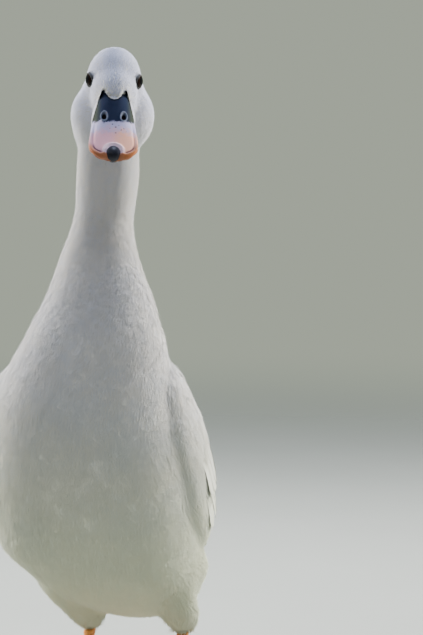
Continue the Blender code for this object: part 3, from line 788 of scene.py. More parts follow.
VANE_ROWS = 7
VANE_COLUMNS = 5
VANE_PROFILE = ((0, 0.3), (0.3, 0.8), (0.6, 1.0), (0.8, 0.9), (0.93, 0.62), (1.0, 0.22))
VANE_BARBS = 12
VANE_VARY = (0.88, 1.12)
VANE_WANDER = 0.10
VANE_CLUMPS = (0.022, 0.00045)
VANE_LIFT = (-0.1, 0.85, 0.7)
VANE_SWELL = 0.1
VANE_ROLL = 0.1
VANE_CAMBER = 0.035
BARB_PLACES = (0.55, 0.45)
BARB_TURN = (2, 12)
BARB_SPLAY = 16
BARB_INSET = 0.6
BARB_REACH = (0.2, 0.14)
BARB_ROOT = 0.25
BARB_LIFT = 0.00008
BARB_FALL = (-0.0002, 0.0003)
BARB_TAPER = np.array((0.045, 0.045, 0))


def each(values):
    """One number of every feather, ready for the grid of its points."""
    return values[:, None, None]


def contour_feathers(coat, surface, spots, from_crown):
    """Rounded body feathers that follow the skin and lie over one another like tiles."""
    number = len(spots)
    vary = rng.uniform(*VANE_VARY, number)
    lengths = at_keys(VANE_LENGTH, from_crown) * MM * vary
    widths = at_keys(VANE_WIDTH, from_crown) * MM * vary
    paths, normals, sides = trace(surface, spots, lengths, VANE_ROWS, VANE_WANDER)
    t = np.linspace(0, 1, VANE_ROWS)[:, None]
    q = np.linspace(-1, 1, VANE_COLUMNS)
    outline = at_keys(VANE_PROFILE, t[:, 0])[:, None]
    flat = paths[:, :, None] + sides[:, :, None] * (each(widths) / 2 * outline * q)[..., None]
    found = [surface.near(Vector(point)) for point in flat.reshape(-1, 3)]
    ground = np.array([tuple(spot) for spot, _, _ in found]).reshape(flat.shape)
    up = np.array([tuple(normal) for _, normal, _ in found]).reshape(flat.shape)
    depth = at_keys(COAT_DEPTH, (spots[:, 2] - SHIFT.z) / MM) * MM
    low, rise, power = VANE_LIFT
    lift = each(depth) * (low + rise * t ** power)
    slow = rng.uniform(-VANE_SWELL, VANE_SWELL, number) * MM + clumps(spots, *VANE_CLUMPS)
    lift = lift + each(slow) * t + each(rng.normal(0, VANE_ROLL, number) * MM) * (q * outline)
    lift = lift - each(widths) * VANE_CAMBER * q ** 2 * t
    points = ground + up * lift[..., None]
    add_vanes(coat, points, q, normals, sides, lengths, widths, unwrap(spots), VANE_BARBS)


def add_vanes(coat, points, across, normals, sides, lengths, widths, roots, count):
    """Whole feathers from grids of points, with loose barbs past the edges of each."""
    number, rows = points.shape[:2]
    tones = rng.random(number)
    coat.add(points.reshape(number, -1, 3), *grid_template(rows, across), roots, tones)
    for k in range(count):
        share = (k + 0.5) / count
        side = -1 if k % 2 else 1
        at = (BARB_PLACES[0] + BARB_PLACES[1] * sqrt(share)) * (rows - 1)
        low = min(rows - 2, int(at))
        edge, inner = (0, 1) if side < 0 else (-1, -2)
        q = rng.uniform(0.0, BARB_INSET, number)[:, None]
        start = points[:, low] * (1 - at + low) + points[:, low + 1] * (at - low)
        base = start[:, edge] * (1 - q) + start[:, inner] * q
        normal, aside = normals[:, low], sides[:, low]
        angle = np.radians(rng.uniform(*BARB_TURN, number) + BARB_SPLAY * (1 - share)) * side
        angle = angle[:, None]
        run = np.cross(aside, normal) * np.cos(angle) + aside * np.sin(angle)
        reach = ((BARB_REACH[0] + BARB_REACH[1] * rng.random(number)) * lengths)[:, None]
        middle = base + run * reach * 0.5 + normal * BARB_LIFT
        tip = base + run * reach - normal * rng.uniform(*BARB_FALL, number)[:, None]
        line = np.stack([base - run * reach * BARB_ROOT, middle, tip], 1)
        beside = np.repeat(unit(np.cross(normal, run))[:, None], 3, 1)
        add_ribbons(coat, line, beside, widths[:, None] * BARB_TAPER, roots, tones)


# Wing and tail feathers

# Tiers of each wing: count, then first and last root, first and last tip, width, rise at the tip
WING_TIERS = (
    (6, (116, -8), (122, 10), (203, 0), (176, 13), 12, 1.0),
    (8, (92, -8), (100, 26), (178, -6), (148, 26), 17, 1.9),
    (8, (62, -10), (68, 24), (120, -12), (112, 26), 15, 2.4),
    (8, (42, -14), (48, 20), (88, -16), (82, 22), 15, 2.3),
    (4, (84, -27), (90, -6), (176, -13), (156, 0), 19, 3.1),
    (7, (40, -22), (58, -31), (92, -26), (132, -31), 18, 3.0),
)
# Tiers of the tail: count, root and tip distance, spread of the tips in degrees, width, lifts
TAIL_TIERS = (
    (14, 20, 74.5, 17, 13, 0.0, 0.6),
    (9, 8, 56, 15, 14, 5.5, 2.6),
    (8, -6, 38, 14, 16, 10.5, 5.6),
    (9, 8, 62, 15, 14, -5.5, -2.4),
    (8, -6, 42, 14, 16, -10.5, -5.6),
)
TAIL_UPPER_TIERS = 3
QUILL_ROWS = 20
QUILL_ACROSS = (-1, -0.8, -0.55, -0.28, -0.06, 0, 0.06, 0.28, 0.55, 0.8, 1)
QUILL_SHAFT = 5
QUILL_ROOT = 6
QUILL_MIDDLE = 8
QUILL_RIDGE = (0.4, 0.0, 0.05)
QUILL_SUNK = 2.4
QUILL_LOWEST = 1.4
QUILL_BEND = 0.8
QUILL_THINNING = 0.7
QUILL_TILT = 0.55
QUILL_CAMBER = 0.5
QUILL_FRINGE = 0.23
QUILL_BARBS = 26
QUILL_BARB_WIDTH = 0.8
QUILL_PROFILE = ((0, 0.45), (0.3, 0.86), (0.7, 1.0), (0.86, 0.86), (0.95, 0.55), (1.0, 0.16))
WING_SETTLED = 0.45
WING_JITTER = 0.7
WING_LIFT_JITTER = 0.08
TRUNK_MIDDLE = (0, -2, 142)
TAIL_STEP = 1.6
TAIL_MIDDLE = 20
TAIL_FAR = 40


def quill_grid(sheet, root, tip, width, heights, tilt):
    """A long feather over a sheet: a raised shaft with a vane on each side of it."""
    run = Vector(tip) - Vector(root)
    aside = Vector((-run.y, run.x)).normalized()
    bend = rng.normal(0, QUILL_BEND)
    rows = []
    for t in np.linspace(0, 1, QUILL_ROWS):
        half = 0.5 * width * at_key(QUILL_PROFILE, t)
        row = []
        for q in QUILL_ACROSS:
            spot = Vector(root) + run * t + aside * (half * q + bend * t * t)
            raised = swell(QUILL_RIDGE, q) * (1 - QUILL_THINNING * t) - QUILL_CAMBER * q * q * t
            row.append(tuple(sheet(*spot, heights(t, spot) + tilt * q + raised)))
        rows.append(row)
    return rows


def between(first, last, t):
    return np.array([a + (b - a) * t for a, b in zip(first, last)])


def wing_quills():
    """Every tier of a folded wing, each over the one behind it."""
    for count, root_a, root_b, tip_a, tip_b, width, rise in WING_TIERS:
        for t in np.linspace(0, 1, count):
            jitter = rng.normal(0, WING_JITTER, 2)
            settled = 1 - WING_SETTLED * t * t * (root_b[1] > 0)

            def heights(s, spot, rise=settled * rise + rng.normal(0, WING_LIFT_JITTER)):
                lift = wing_top(*spot) - QUILL_SUNK * (1 - s) ** 2 + rise * s
                return max(lift, QUILL_LOWEST)

            tip = between(tip_a, tip_b, t) + jitter
            yield between(root_a, root_b, t), tip, width, heights, QUILL_TILT


def tail_quills():
    for count, root, tip, spread, width, low, high in TAIL_TIERS:
        for k in range(count):
            place = (k + 0.5) / count * 2 - 1
            turn = radians(spread * place)

            def heights(s, spot, low=low, high=high, out=abs(place)):
                return low + (high - low) * s - TAIL_STEP * out * s

            end = (tip * cos(turn), tip * sin(turn))
            tilt = QUILL_TILT if (place > 0) == (low < 0) else -QUILL_TILT
            yield (root, TAIL_ROOT_SPREAD * place), end, width, heights, tilt


def draw_quills(sheet, quills):
    """The grids of long feathers over a sheet, with their widths."""
    drawn = [(quill_grid(sheet, *quill), quill[2] * MM) for quill in quills]
    return [np.array(column) for column in zip(*drawn)]


def add_quills(coat, grids, widths, middle):
    """Long feathers from their grids, facing away from a middle point, with loose barbs."""
    along = grids[:, -1, QUILL_SHAFT] - grids[:, 0, QUILL_SHAFT]
    across = grids[:, QUILL_MIDDLE, -1] - grids[:, QUILL_MIDDLE, 0]
    away = grids[:, QUILL_MIDDLE, QUILL_SHAFT] - middle
    flip = (np.cross(along, across) * away).sum(1) < 0
    grids[flip] = grids[flip][:, :, ::-1]
    sides = unit(grids[:, :, -1] - grids[:, :, 0])
    normals = unit(np.cross(unit(np.gradient(grids[:, :, QUILL_SHAFT], axis=1)), sides))
    lengths = np.linalg.norm(along, axis=1) * QUILL_FRINGE
    roots = unwrap(grids[:, QUILL_ROOT, QUILL_SHAFT])
    widths = widths * QUILL_BARB_WIDTH
    add_vanes(coat, grids, QUILL_ACROSS, normals, sides, lengths, widths, roots, QUILL_BARBS)


# Materials

class Value:
    """A node's output that can be reckoned with: every step adds a node."""

    def __init__(self, tree, socket):
        self.tree = tree
        self.socket = socket

    def step(self, operation, other=0.0):
        return self.tree.add("Math", {0: self, 1: other}, operation=operation)

    __add__ = functools.partialmethod(step, "ADD")
    __sub__ = functools.partialmethod(step, "SUBTRACT")
    __mul__ = functools.partialmethod(step, "MULTIPLY")
    __abs__ = functools.partialmethod(step, "ABSOLUTE")

    def span(self, low, high):
        limits = {0: self, 1: low, 2: high}
        return self.tree.add("MapRange", limits, interpolation_type="SMOOTHSTEP")


class Tree:
    """A node tree, with short ways to add nodes to it."""

    def __init__(self, tree):
        self.tree = tree

    def put(self, socket, value):
        """Joins a socket to another node's value, or sets it to a number or colour."""
        if isinstance(value, Value):
            self.tree.links.new(value.socket, socket)
        else:
            socket.default_value = (*value, 1) if socket.type == "RGBA" else value

    def add(self, kind, inputs=(), output=0, **settings):
        made = with_settings(self.tree.nodes.new("ShaderNode" + kind), settings)
        for key, value in dict(inputs).items():
            self.put(made.inputs[key], value)
        return Value(self, made.outputs[output])

    def place(self, kind="Object"):
        return self.add("TexCoord", output=kind)

    def mix(self, share, a, b):
        return self.add("Mix", {0: share, 6: a, 7: b}, 2, data_type="RGBA")

    def noise(self, scale, detail=2.0, vector=None):
        inputs = {"Scale": scale, "Detail": detail, "Vector": vector or self.place()}
        return self.add("TexNoise", inputs, "Fac")

    def cells(self, scale, vector=None):
        inputs = {"Scale": scale, "Vector": vector or self.place()}
        return self.add("TexVoronoi", inputs, "Distance")

    def split(self, vector):
        first = self.add("SeparateXYZ", {0: vector})
        return [Value(self, socket) for socket in first.socket.node.outputs]

    def marked(self, name, output="Fac"):
        return self.add("Attribute", output=output, attribute_name=name)


class Paint(Tree):
    """A material: its shader's inputs are set by their names, with underscores for spaces."""

    def __init__(self, name, **inputs):
        self.material = bpy.data.materials.new(name)
        self.material.use_nodes = True
        super().__init__(self.material.node_tree)
        self.shader = self.tree.nodes["Principled BSDF"]
        self.set(**inputs)

    def set(self, **inputs):
        for key, value in inputs.items():
            self.put(self.shader.inputs[key.replace("_", " ")], value)

    def bump(self, height, distance, strength=1.0):
        inputs = {"Strength": strength, "Distance": distance, "Height": height}
        self.set(Normal=self.add("Bump", inputs))


WHITE_WARM = (0.86, 0.825, 0.765)
WHITE_COOL = (0.79, 0.785, 0.785)
# Painted skylight: a lavender tint on the head's white that stands in for blue light from above
PAINTED_SKYLIGHT_HEAD = (0.72, 0.745, 0.91)
# A cream stain low on the body, mixed with painted green reflected light
STAIN_AND_GREEN_REFLECTION = (0.58, 0.62, 0.38)


def plumage_material():
    """White feathers: warm and cool whites, a painted lavender skylight tint on the head, a faint
    stain low down that is partly painted green reflected light, fine barbs along each vane.
    """
    paint = Paint("plumage_white", Roughness=0.78, Sheen_Weight=0.25, Sheen_Roughness=0.45,
                  Specular_IOR_Level=0.35)
    warm = paint.marked("tone") * 0.35 + paint.noise(26.0, 3.0)
    colour = paint.mix(warm.span(0.45, 0.85), WHITE_COOL, WHITE_WARM)
    height = paint.split(paint.place())[2]
    # Painted skylight: above this height the head's white is tinted lavender
    colour = paint.mix(height.span(0.34, 0.40) * 0.8, colour, PAINTED_SKYLIGHT_HEAD)
    # Low down the white turns olive: partly a stain, partly painted green reflected light
    colour = paint.mix(height.span(0.24, 0.08) * 0.75, colour, STAIN_AND_GREEN_REFLECTION)
    paint.set(Base_Color=colour)
    across, along, _ = paint.split(paint.add("UVMap", uv_map="Vane"))
    slant = along * 60.0 - abs(across - 0.5) * 46.0
    barbs = (slant * pi).step("SINE")
    paint.bump(barbs * 0.4 + paint.noise(900.0), 0.00012, 0.6)
    return paint.material


def grained(name, scale, detail, dark, light, depth=0.0, **inputs):
    """A plain material with a fine grain in its colour and, with a depth, in its surface."""
    paint = Paint(name, **inputs)
    grain = paint.noise(scale, detail)
    paint.set(Base_Color=paint.mix(grain, dark, light))
    if depth:
        paint.bump(grain, depth)
    return paint


# Bill

BILL_ROWS = 200
BILL_COLUMNS = 96
LOWER_COLUMNS = 32
BILL_BACK = -0.3
BILL_TOP_END = 10.0
BILL_BOTTOM_END = 8.5
BILL_SLATE = (0.020, 0.026, 0.048)
# Dark slate of the bill's flanks with painted green reflected light
BILL_SIDE_SLATE_AND_GREEN_REFLECTION = (0.046, 0.053, 0.043)
# Painted reflection: a lavender sheen of light from above over the pink
BILL_LAVENDER_REFLECTION = (0.40, 0.37, 0.52)
BILL_PINK = (0.62, 0.33, 0.37)
BILL_PEACH = (0.74, 0.38, 0.27)
BILL_RIM = (0.42, 0.13, 0.03)
# Painted shade: the dark of the groove inside the rim
BILL_GROOVE_SHADE = (0.07, 0.035, 0.05)
BILL_FOLD = (0.60, 0.46, 0.52)
# Dark spots: to the side, forward and radius
BILL_SPOTS = (
    (1.1, 54.3, 0.55), (4.3, 56.5, 0.45), (1.1, 59.7, 0.5), (-2.2, 55.6, 0.35), (5.8, 55.0, 0.4),
    (2.9, 52.8, 0.35), (-0.8, 51.8, 0.5), (7.2, 57.4, 0.3),
)
SPOT_COLOUR = (0.03, 0.025, 0.04)
NAIL_RING = (5.3, 7.2)
NOSTRIL_SIZE = (1.45, 3.1)
NOSTRIL_TURN = 0.10
NOSTRIL_DEPTH = 2.0
# Swellings of the bill: height, middle and width
NOSTRIL_LIP = (0.55, 1.3, 0.28)
NAIL_FOLD = (0.7, 1.0, 0.18)
NAIL_ROOM = (1.0, 0.0, 4.5)
RIM_GROOVE = (0.7, 2.3, 0.6)
RIM_ROLL = (1.0, 0.7, 0.8)
RIM_HEIGHT = 0.5
RIM_INSET = 1.7
RIM_START = 54
FLANK_SADDLE = (0.35, 9.0, 2.0)
# Where they come in: the place they start at and over how far
LIP_RAMP = (26, 26)
ROOM_RAMP = (76, 4)
GROOVE_RAMP = (5, 3)
SADDLE_RAMP = (46, -20)
NOSTRIL_RAMP = (1.12, -0.5)
UNDER_SHARES = (1.0, 0.8, 0.4, 0.0, -0.4, -0.8, -1.0)
UNDER_WIDTH = 0.93
LOWER_SHARES = (0.9, 0.4, 0.0, -0.4, -0.9)
LOWER_WIDTH = 0.9
LOWER_GAP = 0.9
LOWER_FLATNESS = 0.8
# Marks of a point that is neither on the bare top nor near a nostril
UNDERSIDE = (0.0, 9.0, -9.0)
OUTLINE = np.array(
    [at_stations(BILL_STATIONS, u)[1::-1] for u in np.linspace(3, 10, 57)] + [[0, 82.9]])


def bill_inset(side, forward):
    """How far a place of the bill is from its outline seen from above."""
    here = np.array((abs(side), forward))
    start, run = OUTLINE[:-1], OUTLINE[1:] - OUTLINE[:-1]
    t = np.clip(((here - start) * run).sum(1) / (run ** 2).sum(1), 0, 1)
    return float(np.sqrt(((start + run * t[:, None] - here) ** 2).sum(1).min()))


def nostril_reach(side, forward):
    """Distance from the nearer nostril's middle, where 1 is its edge."""
    ahead = forward - NOSTRIL_AT[1]
    across = (abs(side) - NOSTRIL_AT[0] + NOSTRIL_TURN * ahead) / NOSTRIL_SIZE[0]
    return hypot(across, ahead / NOSTRIL_SIZE[1])


def bill_arc(station, turn):
    """Side and height of a place round one section of the upper bill."""
    forward, width, ridge, edge = station
    side = width * signed_power(cos(turn), BILL_ROUNDNESS)
    arch = max(0.0, sin(turn)) ** at_key(BILL_FLATNESS, forward)
    return side, edge + (ridge - edge) * arch


def bill_upper_row(u):
    """Points of one section of the upper bill, each with its inset, nostril and cover."""
    station = forward, width, _, edge = at_stations(BILL_STATIONS, u)
    lip = ramp(forward, *LIP_RAMP)
    row = []
    for i in range(BILL_COLUMNS + 1):
        side, up = bill_arc(station, pi * i / BILL_COLUMNS)
        cover = min(covered_by(side, forward, up), BARE_END - forward)
        fold = hypot(side / NAIL_RING[0], (forward - NAIL_AT[1]) / NAIL_RING[1])
        reach = nostril_reach(side, forward)
        inset = bill_inset(side, forward)
        roll = swell(RIM_ROLL, inset)
        groove = swell(RIM_GROOVE, inset) * ramp(abs(side), *GROOVE_RAMP)
        up += swell(NOSTRIL_LIP, reach) + swell(NAIL_FOLD, fold)
        up += RIM_HEIGHT * lip * (roll - groove) - NOSTRIL_DEPTH * ramp(reach, *NOSTRIL_RAMP)
        saddle = swell(FLANK_SADDLE, abs(side)) * ramp(forward, *SADDLE_RAMP)
        room = swell(NAIL_ROOM, side) * ramp(forward, *ROOM_RAMP)
        outward = copysign(RIM_HEIGHT * roll * lip - saddle, side)
        row.append(((side + outward, forward - room, up), (inset, reach, cover)))
    for share in UNDER_SHARES:
        under = (-width * UNDER_WIDTH * share, forward, edge - 0.35 - 0.2 * (1 - abs(share)))
        row.append((under, UNDERSIDE))
    return row


def bill_lower_row(u):
    forward, width, _, edge = at_stations(BILL_STATIONS, u)
    depth = at_key(BILL_LOWER_DEPTH, forward)
    half, top = width * LOWER_WIDTH, edge - LOWER_GAP
    arc = [pi * k / LOWER_COLUMNS for k in range(LOWER_COLUMNS + 1)]
    row = [(half * cos(turn), forward, top - depth * sin(turn) ** LOWER_FLATNESS) for turn in arc]
    row += [(-half * share, forward, top + 0.1) for share in LOWER_SHARES]
    return [(spot, UNDERSIDE) for spot in row]


def bill_piece(name, row_at, end, *nodes):
    rows = [row_at(BILL_BACK + (end - BILL_BACK) * i / BILL_ROWS) for i in range(BILL_ROWS + 1)]
    bm = bmesh.new()
    add_loft(bm, [[head_point(*spot) for spot, _ in row] for row in rows])
    bmesh.ops.recalc_face_normals(bm, faces=bm.faces)
    marks = [(*spot[:2], *marks) for row in rows for spot, marks in row]
    return finish_bill(name, bm, marks, *nodes)


def finish_bill(name, bm, marks, *nodes):
    """Finishes a piece of the bill: its marks for the materials, and gloss along the rim."""
    side, forward, inset, reach, cover = np.array(marks).T
    spots = [np.hypot(side - a, forward - b) / size for a, b, size in BILL_SPOTS]
    piece = draw_piece(
        name, bm, "bill", *BILL_MATERIALS, nodes=nodes,
        where=np.stack([side, forward, inset], 1), nostril=reach.clip(None, 9.0), covered=cover,
        spot=np.min(spots, 0).clip(None, 9.0),
        fall=[tilted_height(*head_place(vertex.co)[1:]) for vertex in bm.verts])
    glossy = (inset < RIM_INSET) & (forward > RIM_START)
    for polygon in piece.data.polygons:
        polygon.material_index = int(glossy[polygon.vertices[0]])
    return piece


def bill_material(name, roughness, gloss):
    """Slate at the root with painted green reflection on its flanks, pink towards the tip under a
    painted lavender reflection, a few dark spots, an orange-brown rim, painted shade in the rim's
    groove, the nostrils and along the feathers' edge, and a painted highlight round the nostrils.
    """
    paint = Paint(name, Roughness=roughness, Specular_IOR_Level=gloss, Subsurface_Weight=0.06,
                  Subsurface_Radius=(0.003, 0.0012, 0.0008))
    where = paint.marked("where", "Vector")
    side, forward, inset = paint.split(where)
    covered, nostril = paint.marked("covered"), paint.marked("nostril")
    away = abs(side)
    patchy = paint.noise(0.35, 4.0, where) - 0.5
    peach = (side + paint.noise(1.1, 3.0, where) * 6.0).span(0.0, 8.0)
    pink = paint.mix(peach, BILL_PINK, BILL_PEACH)
    # Painted reflection: lavender over the pink, towards the bill's root
    pink = paint.mix((forward + patchy * 16.0).span(63, 51), pink, BILL_LAVENDER_REFLECTION)
    # Painted reflection: the slate turns olive-green on the bill's flanks
    slate_and_reflection = paint.mix(away.span(6.5, 11.0), BILL_SLATE, BILL_SIDE_SLATE_AND_GREEN_REFLECTION)
    fall = paint.marked("fall") - patchy * 6.0
    across = side * (1 / NAIL_RING[0])
    ahead = (forward - NAIL_AT[1]) * (1 / NAIL_RING[1])
    fold = (across * across + ahead * ahead).step("SQRT")
    # Painted shade: a dark line along the groove inside the rim, near the tip
    line = inset.span(3.1, 2.5) * inset.span(1.6, 2.1) * forward.span(69, 74) * away.span(5, 8)
    rim = inset.span(2.1, 1.4) * forward.span(66, 75)
    colour = paint.mix(fall.span(-28.2, -26.4), pink, slate_and_reflection)
    for share, tone in (
        (paint.marked("spot").span(1.25, 0.75), SPOT_COLOUR),
        (fold.span(1.35, 1.1) * 0.8, BILL_FOLD),
        (line * 0.85, BILL_GROOVE_SHADE),
        (rim * 0.9, BILL_RIM),
        # Painted shade: a dark line where the feathers overhang the bill's edge
        (covered.span(-1.5, -0.4) * 0.7, (0.012, 0.014, 0.016)),
        # Painted highlight: a pale blue ring round each nostril
        (nostril.span(1.75, 1.35) * 0.45, (0.26, 0.29, 0.36)),
        # Painted shade: the nostril openings made nearly black
        (nostril.span(1.05, 0.8), (0.012, 0.010, 0.010)),
        (covered.span(0.1, 0.5), WHITE_WARM),
    ):
        colour = paint.mix(share, colour, tone)
    paint.set(Base_Color=colour)
    paint.bump(paint.noise(3.0, 5.0, where) + paint.cells(1.6, where) * 0.5, 0.00025, 0.5)
    return paint.material


SHIELD_COLUMNS = 64
SHIELD_ROWS = 30
SHIELD_WIDE = 10.6
SHIELD_END = -19.0
SHIELD_SHORTEST = 1.5
SHIELD_BLEND = 1.6
SHIELD_FAR = 60
SHIELD_HEM = 0.8
SHIELD_UP = 0.4
SHIELD_OVER = 0.15
SHIELD_SINK = 0.3


def make_shield(*under):
    """Bare skin from the bill up into its two horns on the forehead."""
    trees = [BVHTree.FromPolygons([v.co for v in obj.data.vertices],
                                  [tuple(f.vertices) for f in obj.data.polygons]) for obj in under]
    ray = (HEAD_TURN @ -BARE_TOWARD).normalized()
    bm = bmesh.new()
    grid = []
    marks = []
    for i in range(SHIELD_ROWS + 1):
        t = i / SHIELD_ROWS
        grid.append([])
        for k in range(SHIELD_COLUMNS + 1):
            side = SHIELD_WIDE * (2 * k / SHIELD_COLUMNS - 1)
            top = bare_edge(side) + SHIELD_UP
            height = top + (min(SHIELD_END, top - SHIELD_SHORTEST) - top) * t
            foot = Vector((side, 0, 0)) + BARE_UPWARD * height
            start = HEAD_MATRIX @ ((foot + BARE_TOWARD * SHIELD_FAR) * MM)
            hits = [tree.ray_cast(start, ray)[0] for tree in trees]
            depths = [SHIELD_FAR - (hit - start).length / MM if hit else -FAR_OFF for hit in hits]
            near = max(0.0, SHIELD_BLEND - abs(depths[0] - depths[1])) / SHIELD_BLEND
            depth = max(depths) + near * near * SHIELD_BLEND / 4
            depth += SHIELD_OVER - SHIELD_SINK * smooth(2 * t - 1)
            if i == 0 or k in (0, SHIELD_COLUMNS):
                depth -= SHIELD_HEM
            spot = foot + BARE_TOWARD * depth
            grid[-1].append(bm.verts.new(HEAD_MATRIX @ (spot * MM)))
            marks.append((side, -spot.y, 12.0, 9.0, covered_by(side, -spot.y, spot.z)))
    weave(bm, grid)
    finish_bill("bill_shield", bm, marks)


def make_bill(skin):
    bill = bill_piece("bill_top", bill_upper_row, BILL_TOP_END, "bill_upper")
    bill_piece("bill_bottom", bill_lower_row, BILL_BOTTOM_END, "bill_lower")
    make_shield(skin, bill)
    horn = grained("nail_horn", 500, 4, (0.006, 0.006, 0.010), (0.020, 0.021, 0.034), 0.00012,
                   Roughness=0.4, Specular_IOR_Level=0.3)
    bm = bmesh.new()
    add_ball(bm, NAIL_AT, NAIL_SIZE)
    draw_piece("nail", bm, "nail", horn.material, nodes=["bill_nail"])


BILL_MATERIALS = (bill_material("bill_horn", 0.5, 0.0), bill_material("bill_rim", 0.28, 0.4))

# Eyes and lids

BALL_SEGMENTS = 48
BALL_STEPS = 32
BALL_EDGE = (1.08, 0.3)
BALL_SUNK = 0.13
LID_TURNS = 56
# Section of a lid from the ball outwards: out from the opening's edge, height over the ball
LID_SECTION = (
    (-0.2, -0.3), (-0.1, 0.12), (0.12, 0.28), (0.35, 0.28), (0.7, 0.1), (1.2, -0.1), (1.8, -0.2),
    (2.4, -0.6), (3.0, -1.3), (3.6, -2.6),
)
LID_WIDE = 4.6
LID_HIGH = 3.7
LID_LOWERED = 0.35
LID_LAST = 5.6


def make_eyes():
    dark = Paint("eye_dark", Roughness=0.06, IOR=1.22)
    reach = dark.marked("pupil")
    iris = dark.mix(reach.span(0.42, 0.50), (0.002, 0.002, 0.003), (0.016, 0.008, 0.005))
    dark.set(Base_Color=dark.mix(reach.span(0.70, 0.82), iris, (0.006, 0.005, 0.006)))
    lid = Paint("lid_skin", Roughness=0.5)
    wrinkles = lid.cells(1400.0)
    bare = lid.mix(wrinkles, (0.03, 0.028, 0.028), (0.09, 0.085, 0.08))
    lid.set(Base_Color=lid.mix(lid.marked("rim").span(0.7, 1.5), bare, (0.42, 0.42, 0.45)))
    lid.bump(wrinkles, 0.0002)
    for (name, _), place in zip(SIDES, EYE_FRAMES):
        make_ball(name, place, dark.material)
        make_lids(name, place, lid.material)


def make_ball(name, place, material):
    """An eyeball, drawn in where the lids hide it."""
    bm = bmesh.new()
    radius = EYE_RADIUS * MM
    bmesh.ops.create_uvsphere(bm, u_segments=BALL_SEGMENTS, v_segments=BALL_STEPS, radius=radius)
    reach = [acos(max(-1, min(1, vertex.co.z / radius))) for vertex in bm.verts]
    for vertex in bm.verts:
        x, y, z = vertex.co / MM
        off = hypot(x / LID_WIDE, (y + LID_LOWERED) / LID_HIGH)
        vertex.co *= 1 - BALL_SUNK * (1.0 if z < 0 else ramp(off, *BALL_EDGE))
    bmesh.ops.transform(bm, matrix=place, verts=bm.verts)
    draw_piece("eyeball_" + name, bm, "eye", material, nodes=["eye_" + name], pupil=reach)


def make_lids(name, place, material):
    """Both lids as one collar round the opening, a little wider than high."""
    bm = bmesh.new()
    layer = bm.verts.layers.float.new("rim")
    loops = []
    for turn in turns(LID_TURNS):
        loops.append([])
        for out, high in LID_SECTION:
            x = (LID_WIDE + out) * cos(turn)
            y = (LID_HIGH + out) * sin(turn) - LID_LOWERED
            base = sqrt(EYE_RADIUS ** 2 - min(hypot(x, y), LID_LAST) ** 2)
            vertex = bm.verts.new(place @ (Vector((x, y, base + high)) * MM))
            vertex[layer] = out
            loops[-1].append(vertex)
    weave(bm, [*loops, loops[0]])
    bmesh.ops.subdivide_edges(bm, edges=bm.edges, cuts=1, use_grid_fill=True, smooth=1.0)
    draw_piece("lids_" + name, bm, "plumage", material)


# Legs and feet

FOOT_VOXEL = 0.8
FOOT_SMOOTHING = 4
SCALE_SIZE = 0.0026
SCALE_RELIEF = 0.28
SCALE_SEAM = 0.35
TOES = ("inner", "middle", "outer", "hind")


def joined(name, nodes):
    bm = bmesh.new()
    for other in nodes:
        bm.from_mesh(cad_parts[other].data)
    bmesh.ops.remove_doubles(bm, verts=bm.verts, dist=1e-6)
    return link(name, new_mesh(name, bm))


def make_legs():
    scaly = Paint("leg_scales", Roughness=0.45)
    cells, grain = scaly.cells(1 / SCALE_SIZE), scaly.noise(160.0, 5.0)
    tone = scaly.mix(grain, (0.62, 0.20, 0.03), (0.86, 0.40, 0.09))
    scaly.set(Base_Color=scaly.mix(cells.span(0.35, 0.8), tone, (0.55, 0.18, 0.035)))
    scaly.bump(grain - cells, 0.0004, 0.7)
    horn = grained("claw_horn", 300, 4, (0.05, 0.035, 0.025), (0.22, 0.15, 0.10), Roughness=0.35)
    for name, _ in SIDES:
        nodes = ("shank_" + name, "foot_" + name)
        leg = joined("leg_" + name, nodes)
        melt(leg, FOOT_VOXEL, FOOT_SMOOTHING)
        for vertex, normal in with_normals(leg.data):
            first, second = noise.voronoi(vertex.co / SCALE_SIZE)[0][:2]
            vertex.co -= normal * (SCALE_RELIEF * smooth(1 - (second - first) / SCALE_SEAM) * MM)
            vertex.co.z = max(vertex.co.z, 0.0)
        finish(leg, "leg", scaly.material, nodes=nodes)
        nodes = [f"claw_{name}_{toe}" for toe in TOES]
        claws = joined("claws_" + name, nodes)
        modify(claws, ("SUBSURF", {"levels": 2, "render_levels": 2}))
        finish(claws, "claw", horn.material, nodes=nodes)


# Coat over the whole bird

# Pieces of the coat: name, and where they start and end by distance from the crown
TUFT_PIECES = (
    ("down_head", -99, 62), ("down_neck", 62, 125), ("down_breast", 125, 215),
    ("down_flank", 215, 300), ("down_body", 300, 380), ("down_rump", 380, 999),
)
VANE_PIECES = (("coat_breast", 118, 230), ("coat_flank", 230, 320), ("coat_body", 320, 999))
EYE_CLEAR = (5.5, 4.7)
EYE_CLEAR_DEPTH = 12
FACE_END = 90
BILL_CLEAR = 0.4
BILL_ROOT_START = 4
BILL_ROOT_LOW = 5.9
BARE_CLEAR = 0.5
APRON_STEP = 0.7
APRON_START = 10
APRON_ROWS = 34
APRON_ROUND = 64
APRON_LENGTH = 3.6
APRON_HEIGHT = 0.8
APRON_VARY = (0.7, 1.2)
APRON_WANDER = 0.05
APRON_EDGE = 0.2
APRON_RISE = np.array((-0.2, 0.7, 1.0))
APRON_ASIDE = np.array((0.0, 0.4, 0.8))
APRON_WIDTHS = 0.42 * np.array((0.8, 1.0, 0.0))


def bill_station(forward):
    """The section of the upper bill at a place along it."""
    for k, (low, high) in enumerate(zip(BILL_STATIONS, BILL_STATIONS[1:])):
        if forward <= high[0]:
            u = k + (forward - low[0]) / (high[0] - low[0])
            return forward, *at_stations(BILL_STATIONS, u)[1:]
    return forward, *BILL_STATIONS[-1][1:]


